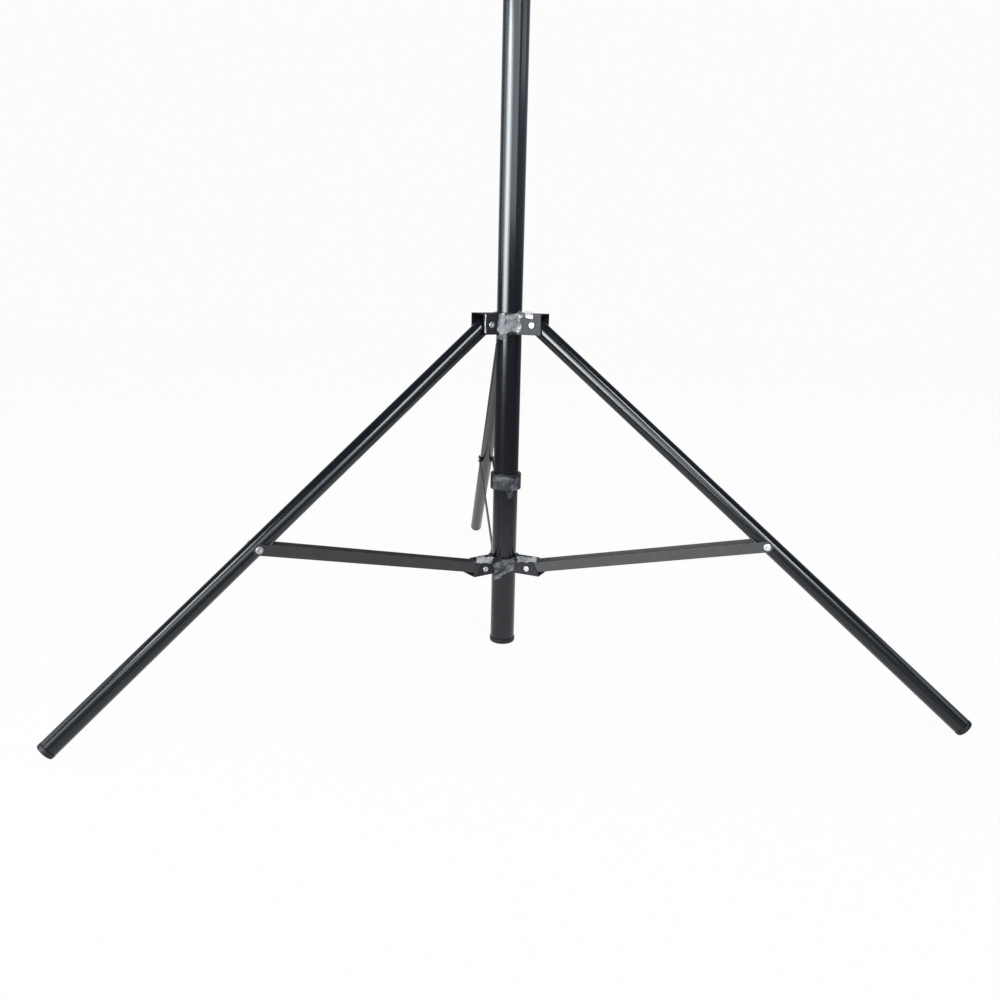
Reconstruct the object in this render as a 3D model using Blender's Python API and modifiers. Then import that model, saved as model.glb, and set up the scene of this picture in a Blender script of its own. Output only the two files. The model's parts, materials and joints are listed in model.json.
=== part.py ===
"""Light boom stand: folding tripod base, telescopic column and tilting boom arm.

Units are metres and +Z is up. The origin is the middle of the flat underside of
the column's end cap. The feet of the three legs reach a little lower. The legs
stand at 90, 210 and 330 degrees about the column, and the boom lies along X.
"""

import math

import bmesh
import bpy
from mathutils import Matrix

# Clearances
FIT_GAP = 0.0003                # between two pieces that touch or are pressed together
RUNNING_GAP = 0.0004            # between the sliding hub and the column

# Column and the tubes that slide in it
COLUMN_DIAMETER = 0.035
TUBE_WALL = 0.0012              # wall of the column, of its sections and of the boom
COLUMN_TOP = 1.020              # height of the column tube's upper end
GLIDE_WALL = 0.0007             # wall of the plastic ring at a sliding tube's lower end
GLIDE_HEIGHT = 0.020
GLIDE_LIP = 0.0025              # thickness of the ring's lip under the tube
MID_LENGTH = 0.950
TOP_LENGTH = 0.900

# End caps of the column and of the legs
CAP_FLANGE_HEIGHT = 0.0075
CAP_OVERHANG = 0.0009           # how far a flange stands out past its tube
CAP_EDGE_RADIUS = 0.003
CAP_PLUG_DEPTH = 0.018
LEG_CAP_HEIGHT = 0.006
LEG_CAP_OVERHANG = 0.0001       # small, because the braces fold up beside it
LEG_CAP_PLUG_DEPTH = 0.016
LEG_CAP_EDGE = 0.0024           # radius of its rounded edge

# Legs
LEG_AZIMUTHS = {"back": 90.0, "left": 210.0, "right": 330.0}
LEG_DIAMETER = 0.022
LEG_WALL = 0.001
LEG_LENGTH = 0.740              # from the upper pivot to the end of the cap
LEG_JOINT = 0.4215              # from the upper pivot to the brace's rivet
LEG_OVERRUN = 0.0055            # tube beyond the upper pivot
LEG_PLUG_DEPTH = 0.016          # depth of the top plug below the pivot

# Braces, two flat bars for each leg
BRACE_LENGTH = 0.3372
BAR_HEIGHT = 0.014
BAR_THICKNESS = 0.0015

# Pivots of the tripod
UPPER_PIVOT_HEIGHT = 0.4643
UPPER_PIVOT_OFFSET = 0.017      # out from the hub's sleeve
LOWER_PIVOT_HEIGHT = 0.1228
LOWER_PIVOT_OFFSET = 0.0195

# Hubs
SLEEVE_WALL = 0.0052
SLEEVE_RIM = 0.0004             # how far the sleeve stands past the lugs, up and down
UPPER_CHEEK = 0.002             # thickness of a lug's cheek on the upper hub
UPPER_WEB = 0.0022              # thickness of the web that closes a lug above the leg
HEAD_ROOM = 0.0007              # between the leg's swinging end and that web
UPPER_LUG_DEPTH = 0.013         # from the pivot down to the lug's lower edge
UPPER_LUG_NOSE = 0.0125         # from the pivot out to the lug's end
UPPER_LUG_HEEL = 0.0075         # the same at the lower edge
UPPER_LUG_BROW = 0.0091         # from the pivot up to the nose's slanted corner
UPPER_LUG_CROWN = 0.0069        # from the pivot out to the end of the upper edge
LOWER_CHEEK = 0.0015
LOWER_WEB = 0.0015
BAR_ROOM = 0.0008               # between the bar's swinging end and the lower web
LOWER_LUG_RISE = 0.0100         # from the pivot up to the lug's upper edge
LOWER_LUG_NOSE = 0.020
LOWER_LUG_SHOULDER = 0.0085     # from the pivot out to the end of the upper edge
LOWER_LUG_BEND = 0.0031         # from the pivot down to the nose's bend
LUG_CORNER = 0.0025             # corner radius of a lug's outline

# Rivets and the pads beside them
RIVET_RADIUS = 0.003
HUB_HEAD_RADIUS = 0.0042
BRACE_HEAD_RADIUS = 0.0049
HEAD_HEIGHT = 0.0018
PAD_HEIGHT = 0.00155            # of the round pads inside the upper cheeks
PAD_RADIUS = 0.007
SHOULDER_RADIUS = 0.005         # of a lower rivet between its two bars

# Stop collar between the hubs
STOP_COLLAR_BOTTOM = 0.2335
STOP_COLLAR_HEIGHT = 0.023
STOP_COLLAR_WALL = 0.004

# Screw that fixes the lower hub
SCREW_RADIUS = 0.002
SCREW_HEAD_RADIUS = 0.0038
SCREW_HEAD_HEIGHT = 0.0022
SCREW_AZIMUTH = 30.0

# Lock collars of the sections
COLLAR_SKIRT = 0.030            # length over the outer tube
COLLAR_HEAD = 0.022             # length over the inner tube
COLLAR_WALL = 0.0045            # around the outer tube
COLLAR_CHAMFER = 0.0025
COLLAR_STRAIGHT = 0.012         # length of the skirt above its taper
COLLAR_LIP = 0.001              # how far the taper's end stands out past the head's neck
COLLAR_KNOB_AZIMUTH = 270.0
COLLAR_SPACING = 0.010          # between two collars when the column is pushed together

# Lock knobs
HUB_KNOB_AZIMUTH = 150.0
STUD_RADIUS = 0.004
BOSS_RADIUS = 0.0075
BOSS_LENGTH = 0.008
KNOB_HUB_RADIUS = 0.0085
KNOB_HUB_HEIGHT = 0.005
KNOB_NECK_RADIUS = 0.0068       # under the wings
WING_SPAN = 0.040
WING_TIP = 0.011                # height of a wing's tip
WING_WAIST = 0.018
WING_CORNER = 0.00495           # radius of a wing's outer corners
WING_THICKNESS = 0.010
WING_BEVEL = 0.0012

# Spigots, 16 mm studs
SPIGOT_RADIUS = 0.008
SPIGOT_LENGTH = 0.038
SPIGOT_FLANGE = 0.004
SPIGOT_PLUG = 0.030
GROOVE_DEPTH = 0.0015
GROOVE_WIDTH = 0.008
GROOVE_START = 0.016            # from the flange
SPIGOT_CHAMFER = 0.0012

# Boom head
SOCKET_WALL = 0.0087
SOCKET_ROOF = 0.004
EAR_THICKNESS = 0.007
EAR_RADIUS = 0.014
EAR_RISE = 0.018                # from the socket's top to the tilt axis
TONGUE_THICKNESS = 0.0154
TONGUE_RADIUS = 0.013
TONGUE_SHOULDER = 0.0121        # from the tilt axis up to the start of its flare
TONGUE_ROOT = 0.0436            # length of the tongue where it meets the sleeve
HEAD_KNOB_AZIMUTH = 90.0
BOOM_RISE = 0.045               # from the tilt axis up to the boom's axis
CLAMP_WALL = 0.0055
CLAMP_LENGTH = 0.064
CLAMP_CHAMFER = 0.0015
NUT_RADIUS = 0.0075
NUT_HEIGHT = 0.0065

# Boom
BOOM_DIAMETER = 0.030
BOOM_REAR = -0.450              # X of the outer tube's rear end
BOOM_LENGTH = 0.800
BOOM_INNER_LENGTH = 0.700
BOOM_EXPOSED = 0.030            # inner tube that shows past its collar, pushed in
HOOK_WIRE = 0.0025              # radius of the hook's wire
HOOK_BEND = 0.012
HOOK_DROP = 0.020               # straight shank below the rear cap
HOOK_LIP = 0.008
REAR_NOSE_LENGTH = 0.016
REAR_NOSE_RADIUS = 0.008

# Facets
TUBE_SIDES = 24                 # a lug, knob or screw then stands on a corner of its sleeve
LEG_SIDES = 16
STUD_SIDES = 16
SMALL_SIDES = 12
RIVET_SIDES = 8
ARC_STEPS = 3                   # steps in a rounded corner
DOME_TURN = math.radians(48)    # up the side of a rivet's domed head
SHARP_ANGLE = math.radians(35)
WING_EDGE_ANGLE = math.radians(60)
FLAT_ANGLE = math.radians(0.1)  # faces closer to one plane than this are merged
MERGE_DISTANCE = 0.00001        # points closer than this are one point
EMPTY_SIZE = 0.02               # drawn size of the empties
CUT_MARGIN = 0.002              # how far a cutter runs past the face that it opens

# Sizes that follow from those above
COLUMN_RADIUS = COLUMN_DIAMETER / 2
LEG_RADIUS = LEG_DIAMETER / 2
BOOM_RADIUS = BOOM_DIAMETER / 2
SLEEVE_RADIUS = COLUMN_RADIUS + RUNNING_GAP + SLEEVE_WALL
UPPER_REACH = SLEEVE_RADIUS + UPPER_PIVOT_OFFSET
LOWER_REACH = SLEEVE_RADIUS + LOWER_PIVOT_OFFSET
BAR_INNER = LEG_RADIUS + FIT_GAP
BAR_OUTER = BAR_INNER + BAR_THICKNESS
UPPER_SLOT = LEG_RADIUS + FIT_GAP + PAD_HEIGHT
LOWER_SLOT = BAR_OUTER + FIT_GAP
RIVET_HOLE = RIVET_RADIUS + FIT_GAP
STUD_HOLE = STUD_RADIUS + FIT_GAP
LEG_SWING = math.hypot(LEG_RADIUS, LEG_OVERRUN)
UPPER_LUG_RISE = LEG_SWING + HEAD_ROOM + UPPER_WEB
LOWER_LUG_DEPTH = BAR_HEIGHT / 2 + BAR_ROOM + LOWER_WEB

MODEL_NAME = "light_boom_stand"


def sliding_radius(outer_radius):
    """Radius of the tube that slides inside a tube, past its glide ring."""
    return outer_radius - TUBE_WALL - GLIDE_WALL - 2 * FIT_GAP


def pushed_in_top(collar_stop, length):
    """Upper end of a section pushed in until its collar, or else its lower end, stops it."""
    return max(collar_stop, SECTION_FLOOR + length)


MID_RADIUS = sliding_radius(COLUMN_RADIUS)
TOP_RADIUS = sliding_radius(MID_RADIUS)
BOOM_INNER_RADIUS = sliding_radius(BOOM_RADIUS)
SECTION_FLOOR = CAP_FLANGE_HEIGHT + CAP_PLUG_DEPTH + GLIDE_LIP + 2 * FIT_GAP
MID_TOP = pushed_in_top(COLUMN_TOP + COLLAR_HEAD + COLLAR_SPACING + COLLAR_SKIRT, MID_LENGTH)
TOP_TOP = pushed_in_top(MID_TOP + COLLAR_HEAD + COLLAR_SPACING, TOP_LENGTH)
SOCKET_BOTTOM = TOP_TOP + SPIGOT_FLANGE + 2 * FIT_GAP
SOCKET_HEIGHT = SPIGOT_LENGTH + SOCKET_ROOF
TILT_HEIGHT = SOCKET_BOTTOM + SOCKET_HEIGHT + EAR_RISE
BOOM_FRONT = BOOM_REAR + BOOM_LENGTH
INNER_FRONT = BOOM_FRONT + COLLAR_HEAD + BOOM_EXPOSED


def fold_angles():
    """Tilt of a leg and of its brace from the vertical, from the four pivots."""
    across = LOWER_REACH - UPPER_REACH
    drop = UPPER_PIVOT_HEIGHT - LOWER_PIVOT_HEIGHT
    base = math.hypot(across, drop)
    lean = math.atan2(across, drop)
    at_leg = math.acos((LEG_JOINT ** 2 + base ** 2 - BRACE_LENGTH ** 2) / (2 * LEG_JOINT * base))
    at_brace = math.acos((BRACE_LENGTH ** 2 + base ** 2 - LEG_JOINT ** 2) / (2 * BRACE_LENGTH * base))
    return at_leg + lean, at_brace - lean


LEG_TILT, BRACE_TILT = fold_angles()


def fold_travel():
    """How far the hub slides up until the legs hang upright, and the brace's tilt there."""
    across = UPPER_REACH - LOWER_REACH
    folded = LEG_JOINT + math.sqrt(BRACE_LENGTH ** 2 - across ** 2)
    travel = folded - (UPPER_PIVOT_HEIGHT - LOWER_PIVOT_HEIGHT)
    return travel, math.asin(across / BRACE_LENGTH)


HUB_TRAVEL, FOLDED_BRACE_TILT = fold_travel()


def clear_scene():
    """Remove every object and collection of the scene."""
    for obj in list(bpy.data.objects):
        bpy.data.objects.remove(obj, do_unlink=True)
    for collection in list(bpy.data.collections):
        bpy.data.collections.remove(collection)


def make_collection(name):
    """Make a collection under the scene's own."""
    collection = bpy.data.collections.new(name)
    bpy.context.scene.collection.children.link(collection)
    return collection


def make_material(name, color, roughness, metallic):
    """Make a Principled material."""
    material = bpy.data.materials.new(name)
    material.use_nodes = True
    shader = material.node_tree.nodes["Principled BSDF"]
    shader.inputs["Base Color"].default_value = (*color, 1.0)
    shader.inputs["Roughness"].default_value = roughness
    shader.inputs["Metallic"].default_value = metallic
    return material


def make_empty(name, parent=None, location=(0, 0, 0), rotation=(0, 0, 0)):
    """Make an empty that carries pieces, such as one on a joint's axis."""
    empty = bpy.data.objects.new(name, None)
    empty.empty_display_size = EMPTY_SIZE
    PARTS.objects.link(empty)
    return put(empty, parent, location, rotation)


def arm_empty(name, height, azimuth):
    """Make an empty on the column's axis whose X points out along a leg."""
    return make_empty(name, None, (0, 0, height), (0, 0, math.radians(azimuth)))


def radial_empty(name, height, azimuth):
    """Make an empty on the column's axis whose Z points out at an azimuth."""
    return make_empty(name, None, (0, 0, height), (math.pi / 2, 0, math.radians(azimuth) + math.pi / 2))


def put(obj, parent, location=(0, 0, 0), rotation=(0, 0, 0)):
    """Place an object under its parent."""
    obj.parent = parent
    obj.location = location
    obj.rotation_euler = rotation
    return obj


def shade(mesh):
    """Shade a mesh smooth, with its corners kept sharp."""
    mesh.shade_smooth()
    mesh.set_sharp_from_angle(angle=SHARP_ANGLE)


def settle(obj):
    """Replace an object's curve or modifiers by their plain mesh, in its own axes."""
    bpy.context.view_layer.update()
    evaluated = obj.evaluated_get(bpy.context.evaluated_depsgraph_get())
    mesh = bpy.data.meshes.new_from_object(evaluated)
    welded = bmesh.new()
    welded.from_mesh(mesh)
    bmesh.ops.remove_doubles(welded, verts=welded.verts, dist=MERGE_DISTANCE)
    bmesh.ops.recalc_face_normals(welded, faces=welded.faces)
    welded.to_mesh(mesh)
    welded.free()
    mesh.name = obj.name
    shade(mesh)
    plain = bpy.data.objects.new(obj.name + "_mesh", mesh)
    name, source = obj.name, obj.data
    bpy.data.objects.remove(obj, do_unlink=True)
    if isinstance(source, bpy.types.Curve):
        bpy.data.curves.remove(source)
    else:
        bpy.data.meshes.remove(source)
    plain.name = name
    PARTS.objects.link(plain)
    return plain


def turned(name, profile, sides=TUBE_SIDES, closed=False):
    """Turn a profile of (radius, height) about Z; it runs down the outer side."""
    count = len(profile)
    edges = [(i, i + 1) for i in range(count - 1)]
    if closed:
        edges.append((count - 1, 0))
    mesh = bpy.data.meshes.new(name)
    mesh.from_pydata([(radius, 0, height) for radius, height in profile], edges, [])
    obj = bpy.data.objects.new(name, mesh)
    PARTS.objects.link(obj)
    screw = obj.modifiers.new("Turn", "SCREW")
    screw.angle = math.tau
    screw.steps = sides
    screw.render_steps = sides
    screw.use_merge_vertices = True
    screw.merge_threshold = MERGE_DISTANCE
    return settle(obj)


def ring(name, outer, inner, bottom, top, sides=TUBE_SIDES):
    """A plain ring or tube about Z."""
    profile = [(outer, top), (outer, bottom), (inner, bottom), (inner, top)]
    return turned(name, profile, sides, closed=True)


def rod(name, radius, bottom, top, sides=SMALL_SIDES):
    """A plain solid cylinder about Z."""
    return turned(name, [(0, top), (radius, top), (radius, bottom), (0, bottom)], sides)


def box(name, low, high):
    """A box between two corners."""
    mesh = bpy.data.meshes.new(name)
    cube = bmesh.new()
    bmesh.ops.create_cube(cube, size=1.0)
    scale = Matrix.Diagonal((*[b - a for a, b in zip(low, high)], 1.0))
    middle = Matrix.Translation([(a + b) / 2 for a, b in zip(low, high)])
    bmesh.ops.transform(cube, matrix=middle @ scale, verts=cube.verts)
    cube.to_mesh(mesh)
    cube.free()
    obj = bpy.data.objects.new(name, mesh)
    PARTS.objects.link(obj)
    return obj


def arc(center, radius, start, end, steps):
    """Points on an arc, angles in radians, both ends included."""
    turns = [start + (end - start) * i / steps for i in range(steps + 1)]
    return [(center[0] + radius * math.cos(a), center[1] + radius * math.sin(a)) for a in turns]


def rounded(corners):
    """Outline from corners (x, y, radius), each rounded by an arc, run anticlockwise."""
    points = []
    count = len(corners)
    for index, (x, y, radius) in enumerate(corners):
        if radius == 0:
            points.append((x, y))
            continue
        before = corners[index - 1]
        after = corners[(index + 1) % count]
        to_before = math.atan2(before[1] - y, before[0] - x)
        to_after = math.atan2(after[1] - y, after[0] - x)
        opening = (to_before - to_after) % math.tau
        turn = math.pi - opening
        middle = to_after + opening / 2
        reach = radius / math.sin(opening / 2)
        center = (x + reach * math.cos(middle), y + reach * math.sin(middle))
        start = middle + math.pi - turn / 2
        points += arc(center, radius, start, start + turn, ARC_STEPS)
    return points


def plate(name, outline, thickness, holes=()):
    """A flat outline in XY, with any holes, of a thickness centred on Z = 0."""
    curve = bpy.data.curves.new(name, "CURVE")
    curve.dimensions = "2D"
    curve.fill_mode = "BOTH"
    curve.extrude = thickness / 2
    for points in [outline, *holes]:
        spline = curve.splines.new("POLY")
        spline.points.add(len(points) - 1)
        for point, (x, y) in zip(spline.points, points):
            point.co = (x, y, 0, 1)
        spline.use_cyclic_u = True
    obj = bpy.data.objects.new(name, curve)
    PARTS.objects.link(obj)
    flat = settle(obj)
    if not holes:
        merge_flat_faces(flat.data)
    return flat


def merge_flat_faces(mesh):
    """Make each flat side of a plate one face, so that a cut through it stays clean."""
    merged = bmesh.new()
    merged.from_mesh(mesh)
    bmesh.ops.dissolve_limit(merged, angle_limit=FLAT_ANGLE, verts=merged.verts, edges=merged.edges)
    merged.to_mesh(mesh)
    merged.free()


def hole(center, radius, sides=RIVET_SIDES):
    """Outline of a round hole."""
    return arc(center, radius, 0, math.tau * (sides - 1) / sides, sides - 1)


def combine(target, tool, operation):
    """Join a solid to the target or cut it away, and keep it among the cutters."""
    for collection in list(tool.users_collection):
        collection.objects.unlink(tool)
    CUTTERS.objects.link(tool)
    tool.hide_render = True
    tool.display_type = "WIRE"
    modifier = target.modifiers.new(tool.name, "BOOLEAN")
    modifier.operation = operation
    modifier.object = tool
    modifier.solver = "EXACT"


def cut(target, tool):
    """Cut a solid away from the target."""
    combine(target, tool, "DIFFERENCE")


def join(target, tool):
    """Join a solid to the target."""
    combine(target, tool, "UNION")


def finish(obj, material):
    """Give a piece its material."""
    obj.data.materials.clear()
    obj.data.materials.append(material)
    return obj


def dome(radius, height, foot):
    """Profile of a low domed head on a foot, from its rim upwards, without its middle point."""
    return [(radius * math.cos(turn), foot + height * math.sin(turn)) for turn in (0.0, DOME_TURN)]


def rivet(name, half_grip, head_radius, shoulder=None):
    """A rivet along Z with a domed head at each end, gripping walls half_grip out.

    A shoulder, given as (radius, half length), is a thicker stretch in the middle.
    """
    seat = half_grip + FIT_GAP
    upper = [(0, seat + HEAD_HEIGHT)] + dome(head_radius, HEAD_HEIGHT, seat)[::-1]
    upper.append((RIVET_RADIUS, seat))
    if shoulder:
        upper += [(RIVET_RADIUS, shoulder[1]), shoulder]
    lower = [(radius, -height) for radius, height in reversed(upper)]
    return turned(name, upper + lower, RIVET_SIDES)


def end_cap(name, bore, tube_radius, overhang, flange, plug, edge, sides=TUBE_SIDES):
    """A plastic cap: a rounded flange from Z = 0 up to the tube's end, and its plug."""
    rim = tube_radius + overhang
    plug_radius = bore - FIT_GAP
    profile = [(0, flange + plug), (plug_radius, flange + plug), (plug_radius, flange), (rim, flange)]
    profile += arc((rim - edge, edge), edge, 0, -math.pi / 2, ARC_STEPS)
    profile.append((0, 0))
    return turned(name, profile, sides)


def glide_ring(name, tube_radius, tube_end):
    """The ring that guides a sliding tube's lower end, with a lip under the tube."""
    outer = tube_radius + FIT_GAP + GLIDE_WALL
    sleeve = tube_radius + FIT_GAP
    throat = tube_radius - TUBE_WALL
    seat = tube_end - FIT_GAP
    profile = [(outer, tube_end + GLIDE_HEIGHT), (outer, seat - GLIDE_LIP), (throat, seat - GLIDE_LIP),
               (throat, seat), (sleeve, seat), (sleeve, tube_end + GLIDE_HEIGHT)]
    return turned(name, profile, closed=True)


def spigot(name, bore):
    """A 16 mm stud with a groove, on a flange and a plug that fills a tube's end at Z = 0."""
    plug_radius = bore - FIT_GAP
    flange_radius = bore + TUBE_WALL
    base = SPIGOT_FLANGE + FIT_GAP
    top = base + SPIGOT_LENGTH
    neck = SPIGOT_RADIUS - GROOVE_DEPTH
    groove_low = base + GROOVE_START
    groove_high = groove_low + GROOVE_WIDTH
    profile = [(0, top), (SPIGOT_RADIUS - SPIGOT_CHAMFER, top), (SPIGOT_RADIUS, top - SPIGOT_CHAMFER),
               (SPIGOT_RADIUS, groove_high), (neck, groove_high - GROOVE_DEPTH),
               (neck, groove_low + GROOVE_DEPTH), (SPIGOT_RADIUS, groove_low), (SPIGOT_RADIUS, base),
               (flange_radius, base), (flange_radius, FIT_GAP), (plug_radius, FIT_GAP),
               (plug_radius, -SPIGOT_PLUG), (0, -SPIGOT_PLUG)]
    return turned(name, profile, STUD_SIDES)


def wing_outline():
    """The bow-tie outline of a knob's wings."""
    tip = WING_TIP / 2
    waist = WING_WAIST / 2
    end = WING_SPAN / 2
    return rounded([(end, -tip, WING_CORNER), (end, tip, WING_CORNER), (0, waist, waist),
                    (-end, tip, WING_CORNER), (-end, -tip, WING_CORNER), (0, -waist, waist)])


def knob(name, seat, parent, location, rotation):
    """A winged lock knob on Z: the stud's tip at Z = 0, the knob's foot on a boss at seat."""
    foot = seat + FIT_GAP
    wing_low = foot + KNOB_HUB_HEIGHT
    top = wing_low + WING_THICKNESS / 2
    profile = [(0, top), (KNOB_NECK_RADIUS, top), (KNOB_NECK_RADIUS, wing_low), (KNOB_HUB_RADIUS, foot),
               (STUD_RADIUS, foot), (STUD_RADIUS, 0), (0, 0)]
    body = turned(name, profile, SMALL_SIDES)
    wings = plate(name + "_wings", wing_outline(), WING_THICKNESS)
    bevel = wings.modifiers.new("Edge", "BEVEL")
    bevel.width = WING_BEVEL
    bevel.segments = 1
    bevel.angle_limit = WING_EDGE_ANGLE
    put(body, parent, location, rotation)
    put(wings, body, (0, 0, top))
    join(body, wings)
    return finish(body, PLASTIC)


def make_column():
    """The fixed column tube and its end cap."""
    bore = COLUMN_RADIUS - TUBE_WALL
    tube = ring("column_tube", COLUMN_RADIUS, bore, CAP_FLANGE_HEIGHT + FIT_GAP, COLUMN_TOP)
    finish(tube, GLOSS_BLACK)
    cap = end_cap("column_end_cap", bore, COLUMN_RADIUS, CAP_OVERHANG, CAP_FLANGE_HEIGHT,
                  CAP_PLUG_DEPTH, CAP_EDGE_RADIUS)
    finish(cap, PLASTIC)


def make_stop_collar():
    """The plain plastic collar pressed on the column between the two hubs."""
    inner = COLUMN_RADIUS + FIT_GAP
    outer = inner + STOP_COLLAR_WALL
    top = STOP_COLLAR_BOTTOM + STOP_COLLAR_HEIGHT
    edge = STOP_COLLAR_WALL / 4
    profile = [(outer - edge, top), (outer, top - edge), (outer, STOP_COLLAR_BOTTOM + edge),
               (outer - edge, STOP_COLLAR_BOTTOM), (inner, STOP_COLLAR_BOTTOM), (inner, top)]
    finish(turned("stop_collar", profile, closed=True), PLASTIC)


def fixing_screw(name, tip, seat):
    """A pan-head screw on Z, its tip at one radius and its head outside another."""
    foot = seat + FIT_GAP
    profile = [(0, foot + SCREW_HEAD_HEIGHT)] + dome(SCREW_HEAD_RADIUS, SCREW_HEAD_HEIGHT, foot)[::-1]
    profile += [(SCREW_RADIUS, foot), (SCREW_RADIUS, tip), (0, tip)]
    return turned(name, profile, RIVET_SIDES)


def rivet_hole(name, half_width, parent, location=(0, 0, 0)):
    """A cutter for a rivet's hole, straight across a part of some width."""
    reach = half_width + CUT_MARGIN
    return put(rod(name, RIVET_HOLE, -reach, reach, RIVET_SIDES), parent, location, (math.pi / 2, 0, 0))


def lug_root(half_width):
    """Distance from the column's axis at which a lug's side ends inside the sleeve's wall."""
    return math.sqrt((SLEEVE_RADIUS - SLEEVE_WALL / 2) ** 2 - half_width ** 2)


def lug_outline_up(reach, half_width):
    """Side outline of an upper lug in (radius, height) about its pivot height."""
    root = lug_root(half_width)
    nose = reach + UPPER_LUG_NOSE
    return rounded([(root, -UPPER_LUG_DEPTH, 0), (reach + UPPER_LUG_HEEL, -UPPER_LUG_DEPTH, LUG_CORNER),
                    (nose, 0, LUG_CORNER), (nose, UPPER_LUG_BROW, LUG_CORNER),
                    (reach + UPPER_LUG_CROWN, UPPER_LUG_RISE, LUG_CORNER), (root, UPPER_LUG_RISE, 0)])


def lug_outline_low(reach, half_width):
    """Side outline of a lower lug in (radius, height) about its pivot height."""
    root = lug_root(half_width)
    nose = reach + LOWER_LUG_NOSE
    return rounded([(root, -LOWER_LUG_DEPTH, 0), (nose - LUG_CORNER, -LOWER_LUG_DEPTH, LUG_CORNER),
                    (nose, -LOWER_LUG_BEND, LUG_CORNER),
                    (reach + LOWER_LUG_SHOULDER, LOWER_LUG_RISE, LUG_CORNER), (root, LOWER_LUG_RISE, 0)])


def make_hub(name, height, reach, outline, half_width, slot, slot_low, slot_high, bore, pad=0.0):
    """A hub: a sleeve with three slotted lugs, bored for the column and for the rivets."""
    low = -min(rise for _, rise in outline)
    high = max(rise for _, rise in outline)
    hub = rod(name, SLEEVE_RADIUS, height - low - SLEEVE_RIM, height + high + SLEEVE_RIM, TUBE_SIDES)
    merge_flat_faces(hub.data)
    slots = []
    pads = []
    holes = []
    far = max(x for x, _ in outline) + CUT_MARGIN
    for side, azimuth in LEG_AZIMUTHS.items():
        arm = arm_empty(f"{name}_arm_{side}", height, azimuth)
        lug = plate(f"{name}_lug_{side}", outline, 2 * half_width)
        join(hub, put(lug, arm, (0, 0, 0), (math.pi / 2, 0, 0)))
        near = SLEEVE_RADIUS + FIT_GAP
        channel = box(f"{name}_slot_{side}", (near, -slot, slot_low), (far, slot, slot_high))
        slots.append(put(channel, arm))
        across = (math.pi / 2, 0, 0)
        if pad:
            for hand, start in (("a", slot - pad), ("b", -slot - pad)):
                disc = rod(f"{name}_pad_{side}_{hand}", PAD_RADIUS, start, start + 2 * pad, SMALL_SIDES)
                pads.append(put(disc, arm, (reach, 0, 0), across))
        holes.append(rivet_hole(f"{name}_rivet_hole_{side}", half_width, arm, (reach, 0, 0)))
    for cutter in slots:
        cut(hub, cutter)
    for disc in pads:
        join(hub, disc)
    for cutter in holes:
        cut(hub, cutter)
    cut_low = height - low - SLEEVE_RIM - CUT_MARGIN
    cut_high = height + high + SLEEVE_RIM + CUT_MARGIN
    cut(hub, rod(f"{name}_bore", bore, cut_low, cut_high, TUBE_SIDES))
    return hub


def make_lower_hub():
    """The fixed lower hub with the rivets and the screw that it carries."""
    half_width = LOWER_SLOT + LOWER_CHEEK
    floor = -LOWER_LUG_DEPTH + LOWER_WEB
    outline = lug_outline_low(LOWER_REACH, half_width)
    hub = make_hub("lower_hub", LOWER_PIVOT_HEIGHT, LOWER_REACH, outline, half_width, LOWER_SLOT, floor,
                   LOWER_LUG_RISE + CUT_MARGIN, COLUMN_RADIUS + FIT_GAP)
    finish(hub, PLASTIC)
    for side, azimuth in LEG_AZIMUTHS.items():
        arm = arm_empty(f"brace_pivot_{side}", LOWER_PIVOT_HEIGHT, azimuth)
        pin = rivet(f"brace_pivot_rivet_{side}", half_width, HUB_HEAD_RADIUS, (SHOULDER_RADIUS, LEG_RADIUS))
        finish(put(pin, arm, (LOWER_REACH, 0, 0), (math.pi / 2, 0, 0)), ZINC)
    frame = radial_empty("lower_hub_screw_axis", LOWER_PIVOT_HEIGHT, SCREW_AZIMUTH)
    hole_end = SLEEVE_RADIUS + CUT_MARGIN
    screw_hole = rod("lower_hub_screw_hole", SCREW_RADIUS + FIT_GAP, COLUMN_RADIUS, hole_end, RIVET_SIDES)
    cut(hub, put(screw_hole, frame))
    screw = fixing_screw("lower_hub_screw", COLUMN_RADIUS + FIT_GAP, SLEEVE_RADIUS)
    finish(put(screw, frame), ZINC)


def make_upper_hub():
    """The sliding upper hub with its rivets and its lock knob at the back left."""
    half_width = UPPER_SLOT + UPPER_CHEEK
    roof = UPPER_LUG_RISE - UPPER_WEB
    outline = lug_outline_up(UPPER_REACH, half_width)
    hub = make_hub("upper_hub", UPPER_PIVOT_HEIGHT, UPPER_REACH, outline, half_width, UPPER_SLOT,
                   -UPPER_LUG_DEPTH - CUT_MARGIN, roof, COLUMN_RADIUS + RUNNING_GAP, PAD_HEIGHT)
    finish(hub, PLASTIC)
    for side, azimuth in LEG_AZIMUTHS.items():
        arm = arm_empty(f"leg_pivot_{side}", UPPER_PIVOT_HEIGHT, azimuth)
        pin = rivet(f"leg_pivot_rivet_{side}", half_width, HUB_HEAD_RADIUS)
        finish(put(pin, arm, (UPPER_REACH, 0, 0), (math.pi / 2, 0, 0)), ZINC)
    level = UPPER_PIVOT_HEIGHT + (UPPER_LUG_RISE - UPPER_LUG_DEPTH) / 2
    add_knob(hub, "hub_knob", COLUMN_RADIUS, SLEEVE_RADIUS, (0, 0, level), HUB_KNOB_AZIMUTH)


def add_knob(holder, name, clamped_radius, wall_radius, center, azimuth, boss_root=None):
    """Give a sleeve about a vertical tube a boss and a lock knob at an azimuth."""
    frame = radial_empty(f"{name}_axis", center[2], azimuth)
    frame.location = center
    return knob_on_frame(holder, name, clamped_radius, wall_radius, frame, boss_root)


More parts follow.
